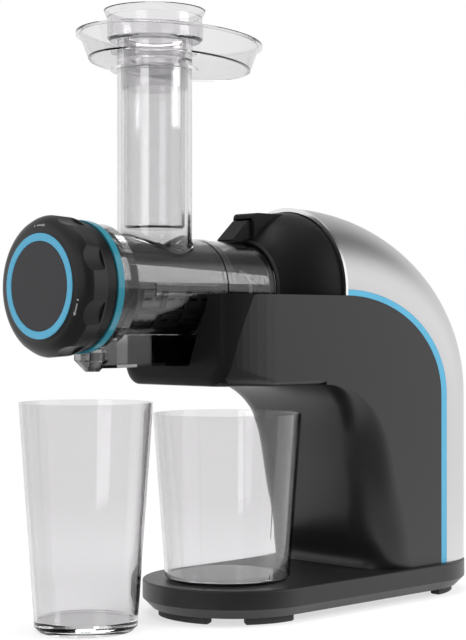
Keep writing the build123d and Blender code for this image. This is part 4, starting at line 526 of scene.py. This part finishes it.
def make_lights():
    for name, (place, size, watts) in LAMPS.items():
        data = bpy.data.lights.new(name, "AREA")
        data.shape = "RECTANGLE"
        data.size, data.size_y = size
        data.energy = watts
        lamp = add_object(name, data)
        lamp.location = place
        lamp.rotation_euler = (Vector(LIT_POINT) - Vector(place)).to_track_quat("-Z", "Y").to_euler()
        lamp.visible_glossy = False


FLOOR_HALF = 6.0
FLOOR_DROP = 0.2 * MM
FLOOR_TINT = (0.93, 0.93, 0.93)

# the floor fades into the background between these distances from the middle, by these shares
FADE_REACH = (0.25, 0.8)
FADE_SHARE = (0.65, 1.0)

# a dark card on the floor where x + y is below its edge; only mirrored rays see it
FLOOR_CARD_EDGE = -0.15
FLOOR_CARD_SOFT = 0.04
FLOOR_CARD_TINT = (0.1, 0.1, 0.1)


def floor_material():
    """White that keeps a faint shadow near the juicer and glows like the background further out."""
    made = bpy.data.materials.new("floor")
    tree = Nodes(made)
    output = tree.add("ShaderNodeOutputMaterial")
    diffuse = tree.add("ShaderNodeBsdfDiffuse")
    glow = tree.add("ShaderNodeEmission")
    glow.inputs["Color"].default_value = (*WHITE, 1.0)
    path = tree.add("ShaderNodeLightPath")
    camera_ray = path.outputs["Is Camera Ray"]
    glossy_ray = path.outputs["Is Glossy Ray"]
    clear_ray = path.outputs["Is Transmission Ray"]
    place = tree.coordinates()
    x, y, _ = tree.split(place)
    card_span = (FLOOR_CARD_EDGE - FLOOR_CARD_SOFT, FLOOR_CARD_EDGE + FLOOR_CARD_SOFT)
    inside = tree.span(tree.math("ADD", x, y), 1.0, 0.0, *card_span)
    mirrored = tree.math("SUBTRACT", glossy_ray, clear_ray, clamp=True)
    card = tree.math("MULTIPLY", mirrored, inside)
    tree.link(tree.mix(card, FLOOR_TINT, FLOOR_CARD_TINT), diffuse.inputs["Color"])
    length = tree.add("ShaderNodeVectorMath", operation="LENGTH")
    tree.link(place, length.inputs[0])
    far = tree.span(length.outputs["Value"], *FADE_SHARE, *FADE_REACH)
    far = tree.math("MULTIPLY", far, tree.math("SUBTRACT", 1.0, card))
    shown = tree.math("MAXIMUM", camera_ray, tree.math("MAXIMUM", glossy_ray, clear_ray))
    blend = tree.add("ShaderNodeMixShader")
    tree.link(tree.math("MULTIPLY", far, shown), blend.inputs[0])
    tree.link(diffuse.outputs[0], blend.inputs[1])
    tree.link(glow.outputs[0], blend.inputs[2])
    tree.link(blend.outputs[0], output.inputs[0])
    return made


def make_floor():
    """One large square just below the feet."""
    corners = [(-FLOOR_HALF, -FLOOR_HALF, 0), (FLOOR_HALF, -FLOOR_HALF, 0)]
    corners += [(FLOOR_HALF, FLOOR_HALF, 0), (-FLOOR_HALF, FLOOR_HALF, 0)]
    mesh = bpy.data.meshes.new("floor")
    mesh.from_pydata(corners, [], [(0, 1, 2, 3)])
    mesh.materials.append(floor_material())
    floor = add_object("floor", mesh)
    floor.location.z = -FLOOR_DROP


def main():
    bpy.context.scene.view_settings.view_transform = "Standard"
    make_camera()
    make_world()
    make_lights()
    make_floor()
    dress_nodes(make_materials())
    printed = moulded("mark_grey", PRINT_TINT, 0.4, grain=0.05)
    for side, middle in MARK_MIDDLES.items():
        cap_mark("cap_mark_" + side, middle, printed)
    for name in SHADOWLESS:
        nodes[name].visible_shadow = False


main()
